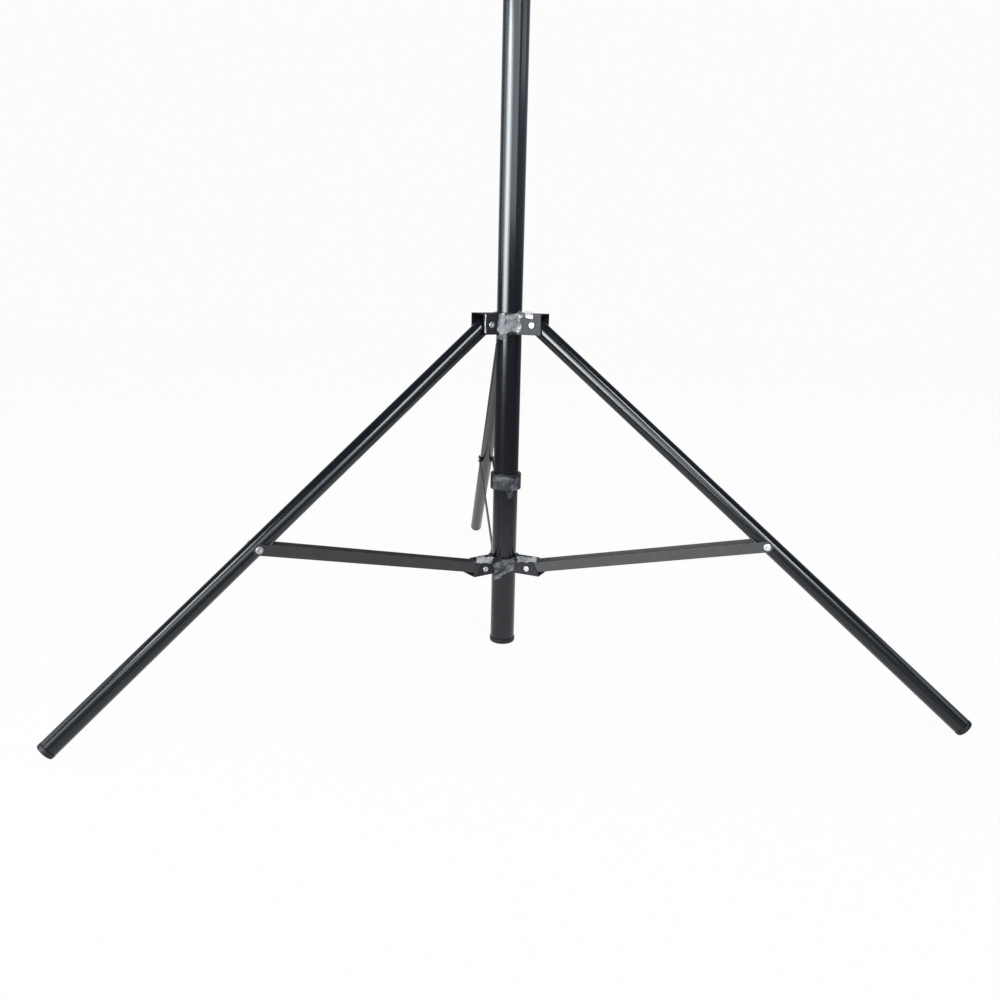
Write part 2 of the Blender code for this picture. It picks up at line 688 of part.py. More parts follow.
def knob_on_frame(holder, name, clamped_radius, wall_radius, frame, boss_root=None):
    """Add boss, stud hole and knob along a frame's Z, which starts on the tube's axis."""
    root = boss_root if boss_root is not None else wall_radius - SLEEVE_WALL / 2
    boss_end = wall_radius + BOSS_LENGTH
    boss = rod(f"{name}_boss", BOSS_RADIUS, root, boss_end, SMALL_SIDES)
    join(holder, put(boss, frame))
    stud_hole = rod(f"{name}_stud_hole", STUD_HOLE, clamped_radius, boss_end + CUT_MARGIN, SMALL_SIDES)
    cut(holder, put(stud_hole, frame))
    tip = clamped_radius + FIT_GAP
    return knob(name, boss_end - tip, frame, (0, 0, tip), (0, 0, 0))


def make_legs():
    """Three leg tubes with their plugs, caps and joint pins."""
    bore = LEG_RADIUS - LEG_WALL
    tube_end = -LEG_LENGTH + LEG_CAP_HEIGHT + FIT_GAP
    for side, azimuth in LEG_AZIMUTHS.items():
        arm = arm_empty(f"leg_arm_{side}", UPPER_PIVOT_HEIGHT, azimuth)
        frame = make_empty(f"leg_{side}_axis", arm, (UPPER_REACH, 0, 0), (0, -LEG_TILT, 0))
        tube = ring(f"leg_{side}_tube", LEG_RADIUS, bore, tube_end, LEG_OVERRUN, LEG_SIDES)
        put(tube, frame)
        cut(tube, rivet_hole(f"leg_{side}_pivot_hole", LEG_RADIUS, frame))
        cut(tube, rivet_hole(f"leg_{side}_joint_hole", LEG_RADIUS, frame, (0, 0, -LEG_JOINT)))
        finish(tube, GLOSS_BLACK)
        finish(put(leg_top_plug(side, frame, bore), frame), PLASTIC)
        cap = end_cap(f"leg_{side}_end_cap", bore, LEG_RADIUS, LEG_CAP_OVERHANG, LEG_CAP_HEIGHT,
                      LEG_CAP_PLUG_DEPTH, LEG_CAP_EDGE, LEG_SIDES)
        finish(put(cap, frame, (0, 0, -LEG_LENGTH)), PLASTIC)
        pin = joint_pin(f"leg_{side}_joint_pin")
        finish(put(pin, frame, (0, 0, -LEG_JOINT), (math.pi / 2, 0, 0)), ZINC)


def leg_top_plug(side, frame, bore):
    """The domed plug in a leg's top end, bored across for the rivet."""
    radius = bore - FIT_GAP
    foot = LEG_OVERRUN + FIT_GAP
    dome_radius = LEG_SWING - FIT_GAP
    first = math.asin(foot / dome_radius)
    profile = arc((0, 0), dome_radius, math.pi / 2, first, ARC_STEPS + 1)
    profile += [(radius, foot), (radius, -LEG_PLUG_DEPTH), (0, -LEG_PLUG_DEPTH)]
    profile[0] = (0, dome_radius)
    plug = turned(f"leg_{side}_top_plug", profile, LEG_SIDES)
    cut(plug, rivet_hole(f"leg_{side}_plug_hole", LEG_RADIUS, frame))
    return plug


def joint_pin(name):
    """The pin across a leg at the brace joint, flush with the tube's sides."""
    return rod(name, RIVET_RADIUS, -LEG_RADIUS, LEG_RADIUS, RIVET_SIDES)


def bar_outline():
    """A flat bar along Y with round ends about its two holes."""
    radius = BAR_HEIGHT / 2
    steps = 2 * ARC_STEPS
    return arc((0, BRACE_LENGTH), radius, 0, math.pi, steps) + arc((0, 0), radius, math.pi, math.tau, steps)


def half_rivet(name, side):
    """A rivet's head with its stub in the bar, on one side of the leg."""
    seat = BAR_OUTER + FIT_GAP
    profile = [(0, seat + HEAD_HEIGHT)] + dome(BRACE_HEAD_RADIUS, HEAD_HEIGHT, seat)[::-1]
    profile += [(RIVET_RADIUS, seat), (RIVET_RADIUS, BAR_INNER), (0, BAR_INNER)]
    if side < 0:
        profile = [(radius, -height) for radius, height in reversed(profile)]
    return turned(name, profile, RIVET_SIDES)


def make_braces():
    """Three braces of two flat bars, each with its rivet heads at the leg."""
    middle = (BAR_INNER + BAR_OUTER) / 2
    for side, azimuth in LEG_AZIMUTHS.items():
        arm = arm_empty(f"brace_arm_{side}", LOWER_PIVOT_HEIGHT, azimuth)
        frame = make_empty(f"brace_{side}_axis", arm, (LOWER_REACH, 0, 0), (0, BRACE_TILT, 0))
        for hand, offset in (("a", middle), ("b", -middle)):
            holes = [hole((0, 0), RIVET_HOLE), hole((0, BRACE_LENGTH), RIVET_HOLE)]
            bar = plate(f"brace_{side}_bar_{hand}", bar_outline(), BAR_THICKNESS, holes)
            put(bar, frame, (0, offset, 0), (math.pi / 2, 0, 0))
            finish(bar, SATIN_STEEL)
        for hand, way in (("a", -1), ("b", 1)):
            head = half_rivet(f"brace_{side}_rivet_{hand}", way)
            finish(put(head, frame, (0, 0, BRACE_LENGTH), (math.pi / 2, 0, 0)), ZINC)


def lock_collar(name, outer_radius, inner_radius):
    """A lock collar on Z: its skirt on the outer tube below Z = 0, its head round the inner one."""
    outside = outer_radius + FIT_GAP + COLLAR_WALL
    neck = outside - COLLAR_CHAMFER
    profile = [(neck, COLLAR_HEAD), (outside, COLLAR_HEAD - COLLAR_CHAMFER),
               (outside, -COLLAR_STRAIGHT), (neck + COLLAR_LIP, -COLLAR_SKIRT),
               (outer_radius + FIT_GAP, -COLLAR_SKIRT), (outer_radius + FIT_GAP, FIT_GAP),
               (inner_radius + FIT_GAP, FIT_GAP), (inner_radius + FIT_GAP, COLLAR_HEAD)]
    return turned(name, profile, closed=True), outside


def make_sections():
    """The two sliding sections of the column, with their glides, collars, knobs and spigot."""
    collar, outside = lock_collar("lower_collar", COLUMN_RADIUS, MID_RADIUS)
    put(collar, None, (0, 0, COLUMN_TOP))
    finish(collar, PLASTIC)
    add_knob(collar, "lower_collar_knob", MID_RADIUS, outside, (0, 0, COLUMN_TOP + COLLAR_HEAD / 2), COLLAR_KNOB_AZIMUTH,
             MID_RADIUS + SLEEVE_WALL)
    mid_bottom = MID_TOP - MID_LENGTH
    finish(ring("mid_tube", MID_RADIUS, MID_RADIUS - TUBE_WALL, mid_bottom, MID_TOP), GLOSS_BLACK)
    finish(glide_ring("mid_glide", MID_RADIUS, mid_bottom), NYLON)
    collar, outside = lock_collar("upper_collar", MID_RADIUS, TOP_RADIUS)
    put(collar, None, (0, 0, MID_TOP))
    finish(collar, PLASTIC)
    add_knob(collar, "upper_collar_knob", TOP_RADIUS, outside, (0, 0, MID_TOP + COLLAR_HEAD / 2), COLLAR_KNOB_AZIMUTH,
             TOP_RADIUS + SLEEVE_WALL)
    top_bottom = TOP_TOP - TOP_LENGTH
    finish(ring("top_tube", TOP_RADIUS, TOP_RADIUS - TUBE_WALL, top_bottom, TOP_TOP), GLOSS_BLACK)
    finish(glide_ring("top_glide", TOP_RADIUS, top_bottom), NYLON)
    stud = spigot("top_spigot", TOP_RADIUS - TUBE_WALL)
    finish(put(stud, None, (0, 0, TOP_TOP)), ZINC)


def ear_outline(radius, foot):
    """An upright ear in (X, Z) about the tilt axis, round above and straight down to its foot."""
    return arc((0, 0), radius, 0, math.pi, 2 * ARC_STEPS) + [(-radius, -foot), (radius, -foot)]


def make_head():
    """The boom head: the socket that turns on the top spigot and its two ears."""
    bore = SPIGOT_RADIUS + FIT_GAP
    outside = bore + SOCKET_WALL
    profile = [(0, SOCKET_HEIGHT), (outside - COLLAR_CHAMFER, SOCKET_HEIGHT),
               (outside, SOCKET_HEIGHT - COLLAR_CHAMFER), (outside, 0), (bore, 0),
               (bore, SPIGOT_LENGTH + FIT_GAP), (0, SPIGOT_LENGTH + FIT_GAP)]
    socket = turned("head_socket", profile)
    put(socket, None, (0, 0, SOCKET_BOTTOM))
    inside = TONGUE_THICKNESS / 2 + FIT_GAP
    tilt_axis = make_empty("tilt_axis", None, (0, 0, TILT_HEIGHT), (math.pi / 2, 0, 0))
    for hand, offset in (("a", inside + EAR_THICKNESS / 2), ("b", -inside - EAR_THICKNESS / 2)):
        ear = plate(f"head_ear_{hand}", ear_outline(EAR_RADIUS, EAR_RISE + CUT_MARGIN), EAR_THICKNESS)
        join(socket, put(ear, tilt_axis, (0, 0, offset)))
    reach = inside + EAR_THICKNESS
    axle_hole = rod("head_axle_hole", STUD_HOLE, -reach - CUT_MARGIN, reach + CUT_MARGIN, SMALL_SIDES)
    cut(socket, put(axle_hole, tilt_axis))
    finish(socket, CAST_BLACK)
    add_knob(socket, "head_knob", SPIGOT_RADIUS, outside,
             (0, 0, SOCKET_BOTTOM + GROOVE_START + GROOVE_WIDTH / 2), HEAD_KNOB_AZIMUTH)
    nut_seat = reach + FIT_GAP
    nut = plate("tilt_nut", hole((0, 0), NUT_RADIUS, 6), NUT_HEIGHT, [hole((0, 0), STUD_HOLE, SMALL_SIDES)])
    finish(put(nut, tilt_axis, (0, 0, -nut_seat - NUT_HEIGHT / 2)), ZINC)
    tip = nut_seat + NUT_HEIGHT
    knob("tilt_knob", tip + reach, tilt_axis, (0, 0, -tip), (0, 0, 0))


def tongue_outline():
    """The clamp's tongue in (X, Z) about the tilt axis, wider where it meets the sleeve."""
    root = BOOM_RISE - BOOM_RADIUS - FIT_GAP - CLAMP_WALL / 2
    half = TONGUE_ROOT / 2
    lower = arc((0, 0), TONGUE_RADIUS, math.pi, math.tau, 2 * ARC_STEPS)
    return lower + [(TONGUE_RADIUS, TONGUE_SHOULDER), (half, root), (-half, root),
                    (-TONGUE_RADIUS, TONGUE_SHOULDER)]


def make_clamp():
    """The boom clamp: a sleeve round the boom on a tongue between the head's ears."""
    bore = BOOM_RADIUS + FIT_GAP
    outside = bore + CLAMP_WALL
    half = CLAMP_LENGTH / 2
    profile = [(outside - CLAMP_CHAMFER, half), (outside, half - CLAMP_CHAMFER),
               (outside, -half + CLAMP_CHAMFER), (outside - CLAMP_CHAMFER, -half),
               (bore - CLAMP_WALL / 2, -half), (bore - CLAMP_WALL / 2, half)]
    clamp = turned("boom_clamp", profile, closed=True)
    axis = make_empty("boom_axis", None, (0, 0, TILT_HEIGHT + BOOM_RISE), (0, math.pi / 2, 0))
    put(clamp, axis)
    tilt_frame = make_empty("clamp_tilt_axis", None, (0, 0, TILT_HEIGHT), (math.pi / 2, 0, 0))
    tongue = plate("boom_clamp_tongue", tongue_outline(), TONGUE_THICKNESS)
    join(clamp, put(tongue, tilt_frame))
    axle_hole = rod("clamp_axle_hole", STUD_HOLE, -TONGUE_THICKNESS / 2 - CUT_MARGIN,
                    TONGUE_THICKNESS / 2 + CUT_MARGIN, SMALL_SIDES)
    cut(clamp, put(axle_hole, tilt_frame))
    up = make_empty("clamp_knob_axis", None, (0, 0, TILT_HEIGHT + BOOM_RISE))
    knob_on_frame(clamp, "clamp_knob", BOOM_RADIUS, outside, up)
    boom_bore = rod("boom_clamp_bore", bore, -half - CUT_MARGIN, half + CUT_MARGIN, TUBE_SIDES)
    cut(clamp, put(boom_bore, axis))
    finish(clamp, CAST_BLACK)
    return axis


def make_boom(axis):
    """The boom: outer and inner tubes, collar, glide, spigot, rear cap and its hook."""
    bore = BOOM_RADIUS - TUBE_WALL
    outer = ring("boom_outer_tube", BOOM_RADIUS, bore, BOOM_REAR, BOOM_FRONT)
    finish(put(outer, axis), GLOSS_BLACK)
    collar, outside = lock_collar("boom_collar", BOOM_RADIUS, BOOM_INNER_RADIUS)
    put(collar, axis, (0, 0, BOOM_FRONT))
    finish(collar, PLASTIC)
    height = TILT_HEIGHT + BOOM_RISE
    add_knob(collar, "boom_knob", BOOM_INNER_RADIUS, outside,
             (BOOM_FRONT + COLLAR_HEAD / 2, 0, height), COLLAR_KNOB_AZIMUTH, BOOM_INNER_RADIUS + SLEEVE_WALL)
    inner_rear = INNER_FRONT - BOOM_INNER_LENGTH
    inner_bore = BOOM_INNER_RADIUS - TUBE_WALL
    inner = ring("boom_inner_tube", BOOM_INNER_RADIUS, inner_bore, inner_rear, INNER_FRONT)
    finish(put(inner, axis), GLOSS_BLACK)
    finish(put(glide_ring("boom_glide", BOOM_INNER_RADIUS, inner_rear), axis), NYLON)
    finish(put(spigot("light_spigot", inner_bore), axis, (0, 0, INNER_FRONT)), ZINC)
    cap = end_cap("boom_rear_cap", bore, BOOM_RADIUS, CAP_OVERHANG, CAP_FLANGE_HEIGHT, CAP_PLUG_DEPTH,
                  CAP_OVERHANG)
    put(cap, axis, (0, 0, BOOM_REAR - CAP_FLANGE_HEIGHT - FIT_GAP))
    nose = rod("boom_rear_nose", REAR_NOSE_RADIUS, -REAR_NOSE_LENGTH, CAP_FLANGE_HEIGHT / 2, SMALL_SIDES)
    join(cap, put(nose, cap))
    hook_x = BOOM_REAR - CAP_FLANGE_HEIGHT - FIT_GAP - REAR_NOSE_LENGTH / 2
    hook_frame = make_empty("weight_hook_axis", None, (hook_x, 0, height))
    shank_hole = rod("weight_hook_hole", HOOK_WIRE + FIT_GAP, -REAR_NOSE_RADIUS - CUT_MARGIN,
                     REAR_NOSE_RADIUS + CUT_MARGIN, RIVET_SIDES)
    cut(cap, put(shank_hole, hook_frame))
    finish(cap, PLASTIC)
    finish(put(weight_hook(), hook_frame), ZINC)


def weight_hook():
    """A wire hook: a shank through the rear cap's nose, and a bend below it."""
    low = -REAR_NOSE_RADIUS - HOOK_DROP
    bend = arc((HOOK_BEND, low), HOOK_BEND, math.pi, math.tau, 3 * ARC_STEPS)
    points = [(0, REAR_NOSE_RADIUS)] + bend + [(2 * HOOK_BEND, low + HOOK_LIP)]
    curve = bpy.data.curves.new("weight_hook", "CURVE")
    curve.dimensions = "3D"
    curve.bevel_depth = HOOK_WIRE
    curve.bevel_resolution = 1
    curve.use_fill_caps = True
    spline = curve.splines.new("POLY")
    spline.points.add(len(points) - 1)
    for point, (x, z) in zip(spline.points, points):
        point.co = (x, 0, z, 1)
    hook = bpy.data.objects.new("weight_hook", curve)
    PARTS.objects.link(hook)
    return settle(hook)


clear_scene()
PARTS = make_collection(MODEL_NAME)
CUTTERS = make_collection("cutters")
GLOSS_BLACK = make_material("gloss_black_tube", (0.012, 0.013, 0.017), 0.18, 0.0)
SATIN_STEEL = make_material("satin_black_steel", (0.045, 0.045, 0.050), 0.42, 0.0)
PLASTIC = make_material("black_plastic", (0.030, 0.030, 0.034), 0.48, 0.0)
CAST_BLACK = make_material("black_cast_metal", (0.028, 0.028, 0.031), 0.40, 0.0)
ZINC = make_material("bright_zinc", (0.72, 0.72, 0.74), 0.28, 1.0)
NYLON = make_material("grey_nylon", (0.20, 0.20, 0.21), 0.50, 0.0)

make_column()
make_stop_collar()
make_lower_hub()
make_upper_hub()
make_legs()
make_braces()
make_sections()
make_head()
make_boom(make_clamp())
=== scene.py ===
"""Dresses the light boom stand: smooth pieces, finishes, packing film, a plain studio and a camera.

Lengths are in metres, +Z is up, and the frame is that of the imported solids: the origin is the
middle of the column's underside, the legs stand at 90, 210 and 330 degrees, the boom lies on X.
"""

from __future__ import annotations

import json
import logging
import math
from collections.abc import Callable, Iterator, Sequence
from contextlib import contextmanager
from dataclasses import dataclass
from enum import Enum

import bpy
from mathutils import Matrix, Vector

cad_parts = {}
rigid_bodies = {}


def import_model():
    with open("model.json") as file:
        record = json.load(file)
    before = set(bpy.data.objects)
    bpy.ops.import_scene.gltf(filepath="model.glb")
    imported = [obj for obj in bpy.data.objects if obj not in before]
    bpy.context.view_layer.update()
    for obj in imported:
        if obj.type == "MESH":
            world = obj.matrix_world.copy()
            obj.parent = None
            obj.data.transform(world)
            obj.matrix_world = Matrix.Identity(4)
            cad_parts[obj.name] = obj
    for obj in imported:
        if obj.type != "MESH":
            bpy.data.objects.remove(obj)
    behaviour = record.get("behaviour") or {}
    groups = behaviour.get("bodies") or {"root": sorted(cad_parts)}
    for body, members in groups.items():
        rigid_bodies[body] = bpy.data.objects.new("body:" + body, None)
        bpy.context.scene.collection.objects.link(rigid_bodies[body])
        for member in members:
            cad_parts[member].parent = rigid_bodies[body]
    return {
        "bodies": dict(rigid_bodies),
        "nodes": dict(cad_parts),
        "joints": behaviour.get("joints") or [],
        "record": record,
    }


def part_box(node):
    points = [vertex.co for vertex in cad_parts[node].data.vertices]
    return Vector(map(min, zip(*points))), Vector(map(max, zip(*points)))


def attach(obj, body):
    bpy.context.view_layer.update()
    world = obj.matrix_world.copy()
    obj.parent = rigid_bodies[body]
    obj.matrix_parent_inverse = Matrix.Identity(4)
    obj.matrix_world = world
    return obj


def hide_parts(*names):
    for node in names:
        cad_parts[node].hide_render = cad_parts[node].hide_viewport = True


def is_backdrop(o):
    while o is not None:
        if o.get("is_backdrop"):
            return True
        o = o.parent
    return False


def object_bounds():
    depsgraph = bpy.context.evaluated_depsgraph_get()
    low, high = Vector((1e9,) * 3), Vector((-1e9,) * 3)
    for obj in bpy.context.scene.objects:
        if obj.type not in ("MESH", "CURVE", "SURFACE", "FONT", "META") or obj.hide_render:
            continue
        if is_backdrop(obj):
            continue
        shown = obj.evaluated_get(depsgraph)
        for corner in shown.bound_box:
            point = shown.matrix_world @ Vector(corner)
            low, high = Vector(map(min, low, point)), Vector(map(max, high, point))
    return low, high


LOG = logging.getLogger("light_boom_stand")
SIDES = ("back", "left", "right")
Profile = Sequence[tuple[float, float]]
OVERCUT = 0.002
HAIR = 0.00005
ACROSS = Matrix.Rotation(math.pi / 2, 4, "X")
ALONG_X = Matrix.Rotation(math.pi / 2, 4, "Y")


class Facets(Enum):
    """How many sides a round form gets."""

    TUBE = 96
    LEG = 72
    HUB = 72
    SMALL = 40


class Body(Enum):
    """The stand's bodies that carry more than one kind of piece."""

    COLUMN = "column"
    UPPER_HUB = "upper_hub"
    MID = "mid_section"
    TOP = "top_section"
    HEAD = "head"
    CLAMP = "clamp"
    BOOM_OUTER = "boom_outer"
    BOOM_INNER = "boom_inner"


class Slot(Enum):
    """The record's material slots."""

    TUBE = "gloss_black_tube"
    BAR = "satin_black_steel"
    PLASTIC = "black_plastic"
    CAST = "black_cast_metal"
    ZINC = "bright_zinc"
    NYLON = "grey_nylon"


# Modelling by operators


def deselect() -> None:
    """Leave nothing selected, in object mode."""
    if bpy.context.object and bpy.context.object.mode != "OBJECT":
        bpy.ops.object.mode_set(mode="OBJECT")
    bpy.ops.object.select_all(action="DESELECT")


def take(obj: bpy.types.Object) -> bpy.types.Object:
    """Select one object alone and make it the active one.

    Args:
        obj: The object to work on.

    Returns:
        The same object.
    """
    deselect()
    obj.select_set(True)
    bpy.context.view_layer.objects.active = obj
    return obj


@contextmanager
def editing(obj: bpy.types.Object, mode: str = "VERT") -> Iterator[None]:
    """Open an object in edit mode with the flags that its mesh holds.

    Args:
        obj: The object to edit.
        mode: VERT, EDGE or FACE, what is selected there.

    Yields:
        Nothing. The mesh is open meanwhile.
    """
    take(obj)
    bpy.ops.object.mode_set(mode="EDIT")
    bpy.ops.mesh.select_mode(type=mode)
    yield
    bpy.ops.object.mode_set(mode="OBJECT")


def turned(name: str, profile: Profile, sides: Facets = Facets.TUBE, closed: bool = False) -> bpy.types.Object:
    """Turn a profile about Z: a ring is added, then extruded and scaled from station to station.

    Args:
        name: The object's name.
        profile: Stations as (radius, height). No radius is zero.
        sides: How many sides the ring has.
        closed: True joins the last ring to the first, False fills both ends.

    Returns:
        The closed, smooth shaded object.
    """
    deselect()
    radius, height = profile[0]
    bpy.ops.mesh.primitive_circle_add(vertices=sides.value, radius=radius, fill_type="NOTHING",
                                      location=(0, 0, height))
    obj = bpy.context.object
    obj.name = name
    bpy.ops.object.mode_set(mode="EDIT")
    bpy.ops.mesh.select_mode(type="EDGE")
    bpy.ops.mesh.select_all(action="SELECT")
    for (radius, height), (next_radius, next_height) in zip(profile, profile[1:]):
        bpy.ops.mesh.extrude_region_move(TRANSFORM_OT_translate={"value": (0, 0, next_height - height)})
        scale = next_radius / radius
        bpy.ops.transform.resize(value=(scale, scale, 1), center_override=(0, 0, next_height))
    if closed:
        bpy.ops.mesh.select_all(action="DESELECT")
        bpy.ops.mesh.select_non_manifold()
        bpy.ops.mesh.bridge_edge_loops()
    else:
        bpy.ops.mesh.edge_face_add()
        bpy.ops.mesh.select_all(action="DESELECT")
        bpy.ops.mesh.select_non_manifold()
        bpy.ops.mesh.edge_face_add()
    bpy.ops.mesh.select_all(action="SELECT")
    bpy.ops.mesh.normals_make_consistent(inside=False)
    bpy.ops.object.mode_set(mode="OBJECT")
    return smooth(rest(obj))


def arc(center: tuple[float, float], radius: float, start: float, end: float,
        steps: int) -> list[tuple[float, float]]:
    """Points on an arc in the profile's plane, both ends included.

    Args:
        center: The arc's middle as (radius, height).
        radius: The arc's own radius.
        start: First angle in degrees.
        end: Last angle in degrees.
        steps: Number of steps.

    Returns:
        The points in order.
    """
    turns = [math.radians(start + (end - start) * i / steps) for i in range(steps + 1)]
    return [(center[0] + radius * math.cos(turn), center[1] + radius * math.sin(turn)) for turn in turns]


def block(name: str, low: Sequence[float], high: Sequence[float]) -> bpy.types.Object:
    """Add a cube between two corners, as a start for a piece.

    Args:
        name: The object's name.
        low: Lowest corner.
        high: Highest corner.

    Returns:
        The object, at the origin.
    """
    deselect()
    middle = [(a + b) / 2 for a, b in zip(low, high)]
    bpy.ops.mesh.primitive_cube_add(size=1, location=middle, scale=[b - a for a, b in zip(low, high)])
    obj = bpy.context.object
    obj.name = name
    return rest(obj)


def rest(obj: bpy.types.Object) -> bpy.types.Object:
    """Apply an object's place, turn and scale to its mesh."""
    take(obj)
    bpy.ops.object.transform_apply(location=True, rotation=True, scale=True)
    return obj


def place(obj: bpy.types.Object, matrix: Matrix) -> bpy.types.Object:
    """Move an object's mesh into a frame and leave the object at the origin."""
    obj.matrix_world = matrix
    return rest(obj)


def smooth(obj: bpy.types.Object, angle: float = 32.0) -> bpy.types.Object:
    """Shade an object smooth up to an angle in degrees."""
    take(obj)
    bpy.ops.object.shade_smooth_by_angle(angle=math.radians(angle))
    return obj


def slice_off(obj: bpy.types.Object, point: Sequence[float], normal: Sequence[float]) -> bpy.types.Object:
    """Cut away what lies beyond a plane and close the cut.

    Args:
        obj: The object to cut.
        point: A point on the plane.
        normal: The side that goes.

    Returns:
        The same object.
    """
    with editing(obj):
        bpy.ops.mesh.select_all(action="SELECT")
        bpy.ops.mesh.bisect(plane_co=point, plane_no=normal, use_fill=True, clear_outer=True)
    return obj


def round_edges(obj: bpy.types.Object, chosen: Callable[[Vector, Vector], bool], radius: float,
                steps: int = 8) -> bpy.types.Object:
    """Round the edges that a test picks by their middle and direction.

    Args:
        obj: The object to shape.
        chosen: Test of an edge's middle and unit direction.
        radius: The rounding's radius.
        steps: Its segments.

    Returns:
        The same object.
    """
    take(obj)
    mesh = obj.data
    for vertex in mesh.vertices:
        vertex.select = False
    for face in mesh.polygons:
        face.select = False
    for edge in mesh.edges:
        start, end = (mesh.vertices[i].co for i in edge.vertices)
        edge.select = chosen((start + end) / 2, (end - start).normalized())
        if edge.select:
            for index in edge.vertices:
                mesh.vertices[index].select = True
    bpy.ops.object.mode_set(mode="EDIT")
    bpy.context.tool_settings.mesh_select_mode = (False, True, False)
    bpy.ops.mesh.bevel(offset=radius, segments=steps, affect="EDGES", clamp_overlap=True)
    bpy.ops.object.mode_set(mode="OBJECT")
    return obj


def apply_modifier(obj: bpy.types.Object, kind: str, **settings: object) -> bpy.types.Object:
    """Add a modifier with its settings and apply it.

    Args:
        obj: The object that it shapes.
        kind: The modifier's type.
        settings: Its properties.

    Returns:
        The same object.
    """
    take(obj)
    modifier = obj.modifiers.new(kind.title(), kind)
    for key, value in settings.items():
        setattr(modifier, key, value)
    bpy.ops.object.modifier_apply(modifier=modifier.name)
    return obj


def combine(target: bpy.types.Object, tool: bpy.types.Object, operation: str) -> bpy.types.Object:
    """Join a tool to a target or cut it away, and remove the tool.

    Args:
        target: The piece in work.
        tool: What is joined or cut away.
        operation: UNION or DIFFERENCE.

    Returns:
        The target.
    """
    apply_modifier(target, "BOOLEAN", operation=operation, object=tool, solver="EXACT")
    bpy.data.objects.remove(tool, do_unlink=True)
    return target


def drill(target: bpy.types.Object, radius: float, low: float, high: float, frame: Matrix | None = None,
          sides: Facets = Facets.SMALL) -> bpy.types.Object:
    """Cut a round hole along a frame's Z.

    Args:
        target: The piece in work.
        radius: The hole's radius.
        low: Where the cut starts.
        high: Where it ends.
        frame: The frame, or None for the object's own.
        sides: How many sides the hole gets.

    Returns:
        The target.
    """
    cutter = turned("cutter", [(radius, low), (radius, high)], sides)
    return combine(target, place(cutter, frame or Matrix.Identity(4)), "DIFFERENCE")


def soften(obj: bpy.types.Object, width: float, angle: float = 40.0) -> bpy.types.Object:
    """Round all sharp edges a little, in two steps, and shade the piece.

    Args:
        obj: The piece.
        width: Width of the rounding.
        angle: Edges sharper than this, in degrees, are rounded.

    Returns:
        The same object.
    """
    apply_modifier(obj, "BEVEL", width=width, segments=2, limit_method="ANGLE",
                   angle_limit=math.radians(angle), use_clamp_overlap=True)
    return apply_modifier(smooth(obj, 50), "WEIGHTED_NORMAL", weight=100, keep_sharp=True)


def copied(obj: bpy.types.Object, name: str) -> bpy.types.Object:
    """Copy an object with a mesh of its own.

    Args:
        obj: The model.
        name: The copy's name.

    Returns:
        The copy.
    """
    twin = obj.copy()
    twin.data = obj.data.copy()
    twin.name = name
    bpy.context.scene.collection.objects.link(twin)
    return twin


def spread(model: bpy.types.Object, names: Sequence[str]) -> list[bpy.types.Object]:
    """Copy a model for each of some names and remove the model.

    Args:
        model: What repeats, modelled once.
        names: The copies' names.

    Returns:
        The copies in order.
    """
    twins = [copied(model, name) for name in names]
    bpy.data.objects.remove(model, do_unlink=True)
    return twins


def lifted(height: float) -> Matrix:
    """A shift along Z."""
    return Matrix.Translation((0, 0, height))


def along_y(direction: Vector) -> bool:
    """Whether a direction runs along Y."""
    return abs(direction.y) > 0.9


def frame_along(origin: Vector, along: Vector, side: Vector) -> Matrix:
    """Frame with Z along a direction and Y along a side that is square to it.

    Args:
        origin: The frame's origin.
        along: Direction of Z.
        side: Direction of Y.

    Returns:
        The frame's matrix.
    """
    z_axis = along.normalized()
    y_axis = (side - side.dot(z_axis) * z_axis).normalized()
    x_axis = y_axis.cross(z_axis)
    turn = Matrix((x_axis, y_axis, z_axis)).transposed().to_4x4()
    return Matrix.Translation(origin) @ turn


def radial_frame(height: float, azimuth: float) -> Matrix:
    """Frame on the column's axis whose Z points out at an azimuth in degrees, Y up."""
    out = Vector((math.cos(math.radians(azimuth)), math.sin(math.radians(azimuth)), 0))
    return frame_along(Vector((0, 0, height)), out, Vector((0, 0, 1)))


def heights(node: str) -> tuple[float, float]:
    """Lowest and highest Z of a node's box."""
    low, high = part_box(node)
    return low.z, high.z


def middle_of(node: str) -> Vector:
    """Middle of a node's box."""
    low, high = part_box(node)
    return (low + high) / 2


# Finishes


class Signal:
    """A shader socket whose arithmetic adds Math nodes."""

    def __init__(self, graph: Graph, socket: bpy.types.NodeSocket) -> None:
        """Hold a socket of a graph."""
        self.graph = graph
        self.socket = socket

    def __add__(self, other: Signal | float) -> Signal:
        """This plus another."""
        return self.graph.math("ADD", self, other)

    def __radd__(self, other: float) -> Signal:
        """A number plus this."""
        return self.graph.math("ADD", other, self)

    def __sub__(self, other: Signal | float) -> Signal:
        """This less another."""
        return self.graph.math("SUBTRACT", self, other)

    def __rsub__(self, other: float) -> Signal:
        """A number less this."""
        return self.graph.math("SUBTRACT", other, self)

    def __mul__(self, other: Signal | float) -> Signal:
        """This times another."""
        return self.graph.math("MULTIPLY", self, other)

    def __rmul__(self, other: float) -> Signal:
        """A number times this."""
        return self.graph.math("MULTIPLY", other, self)

    def __gt__(self, other: Signal | float) -> Signal:
        """1 where this is more than another."""
        return self.graph.math("GREATER_THAN", self, other)


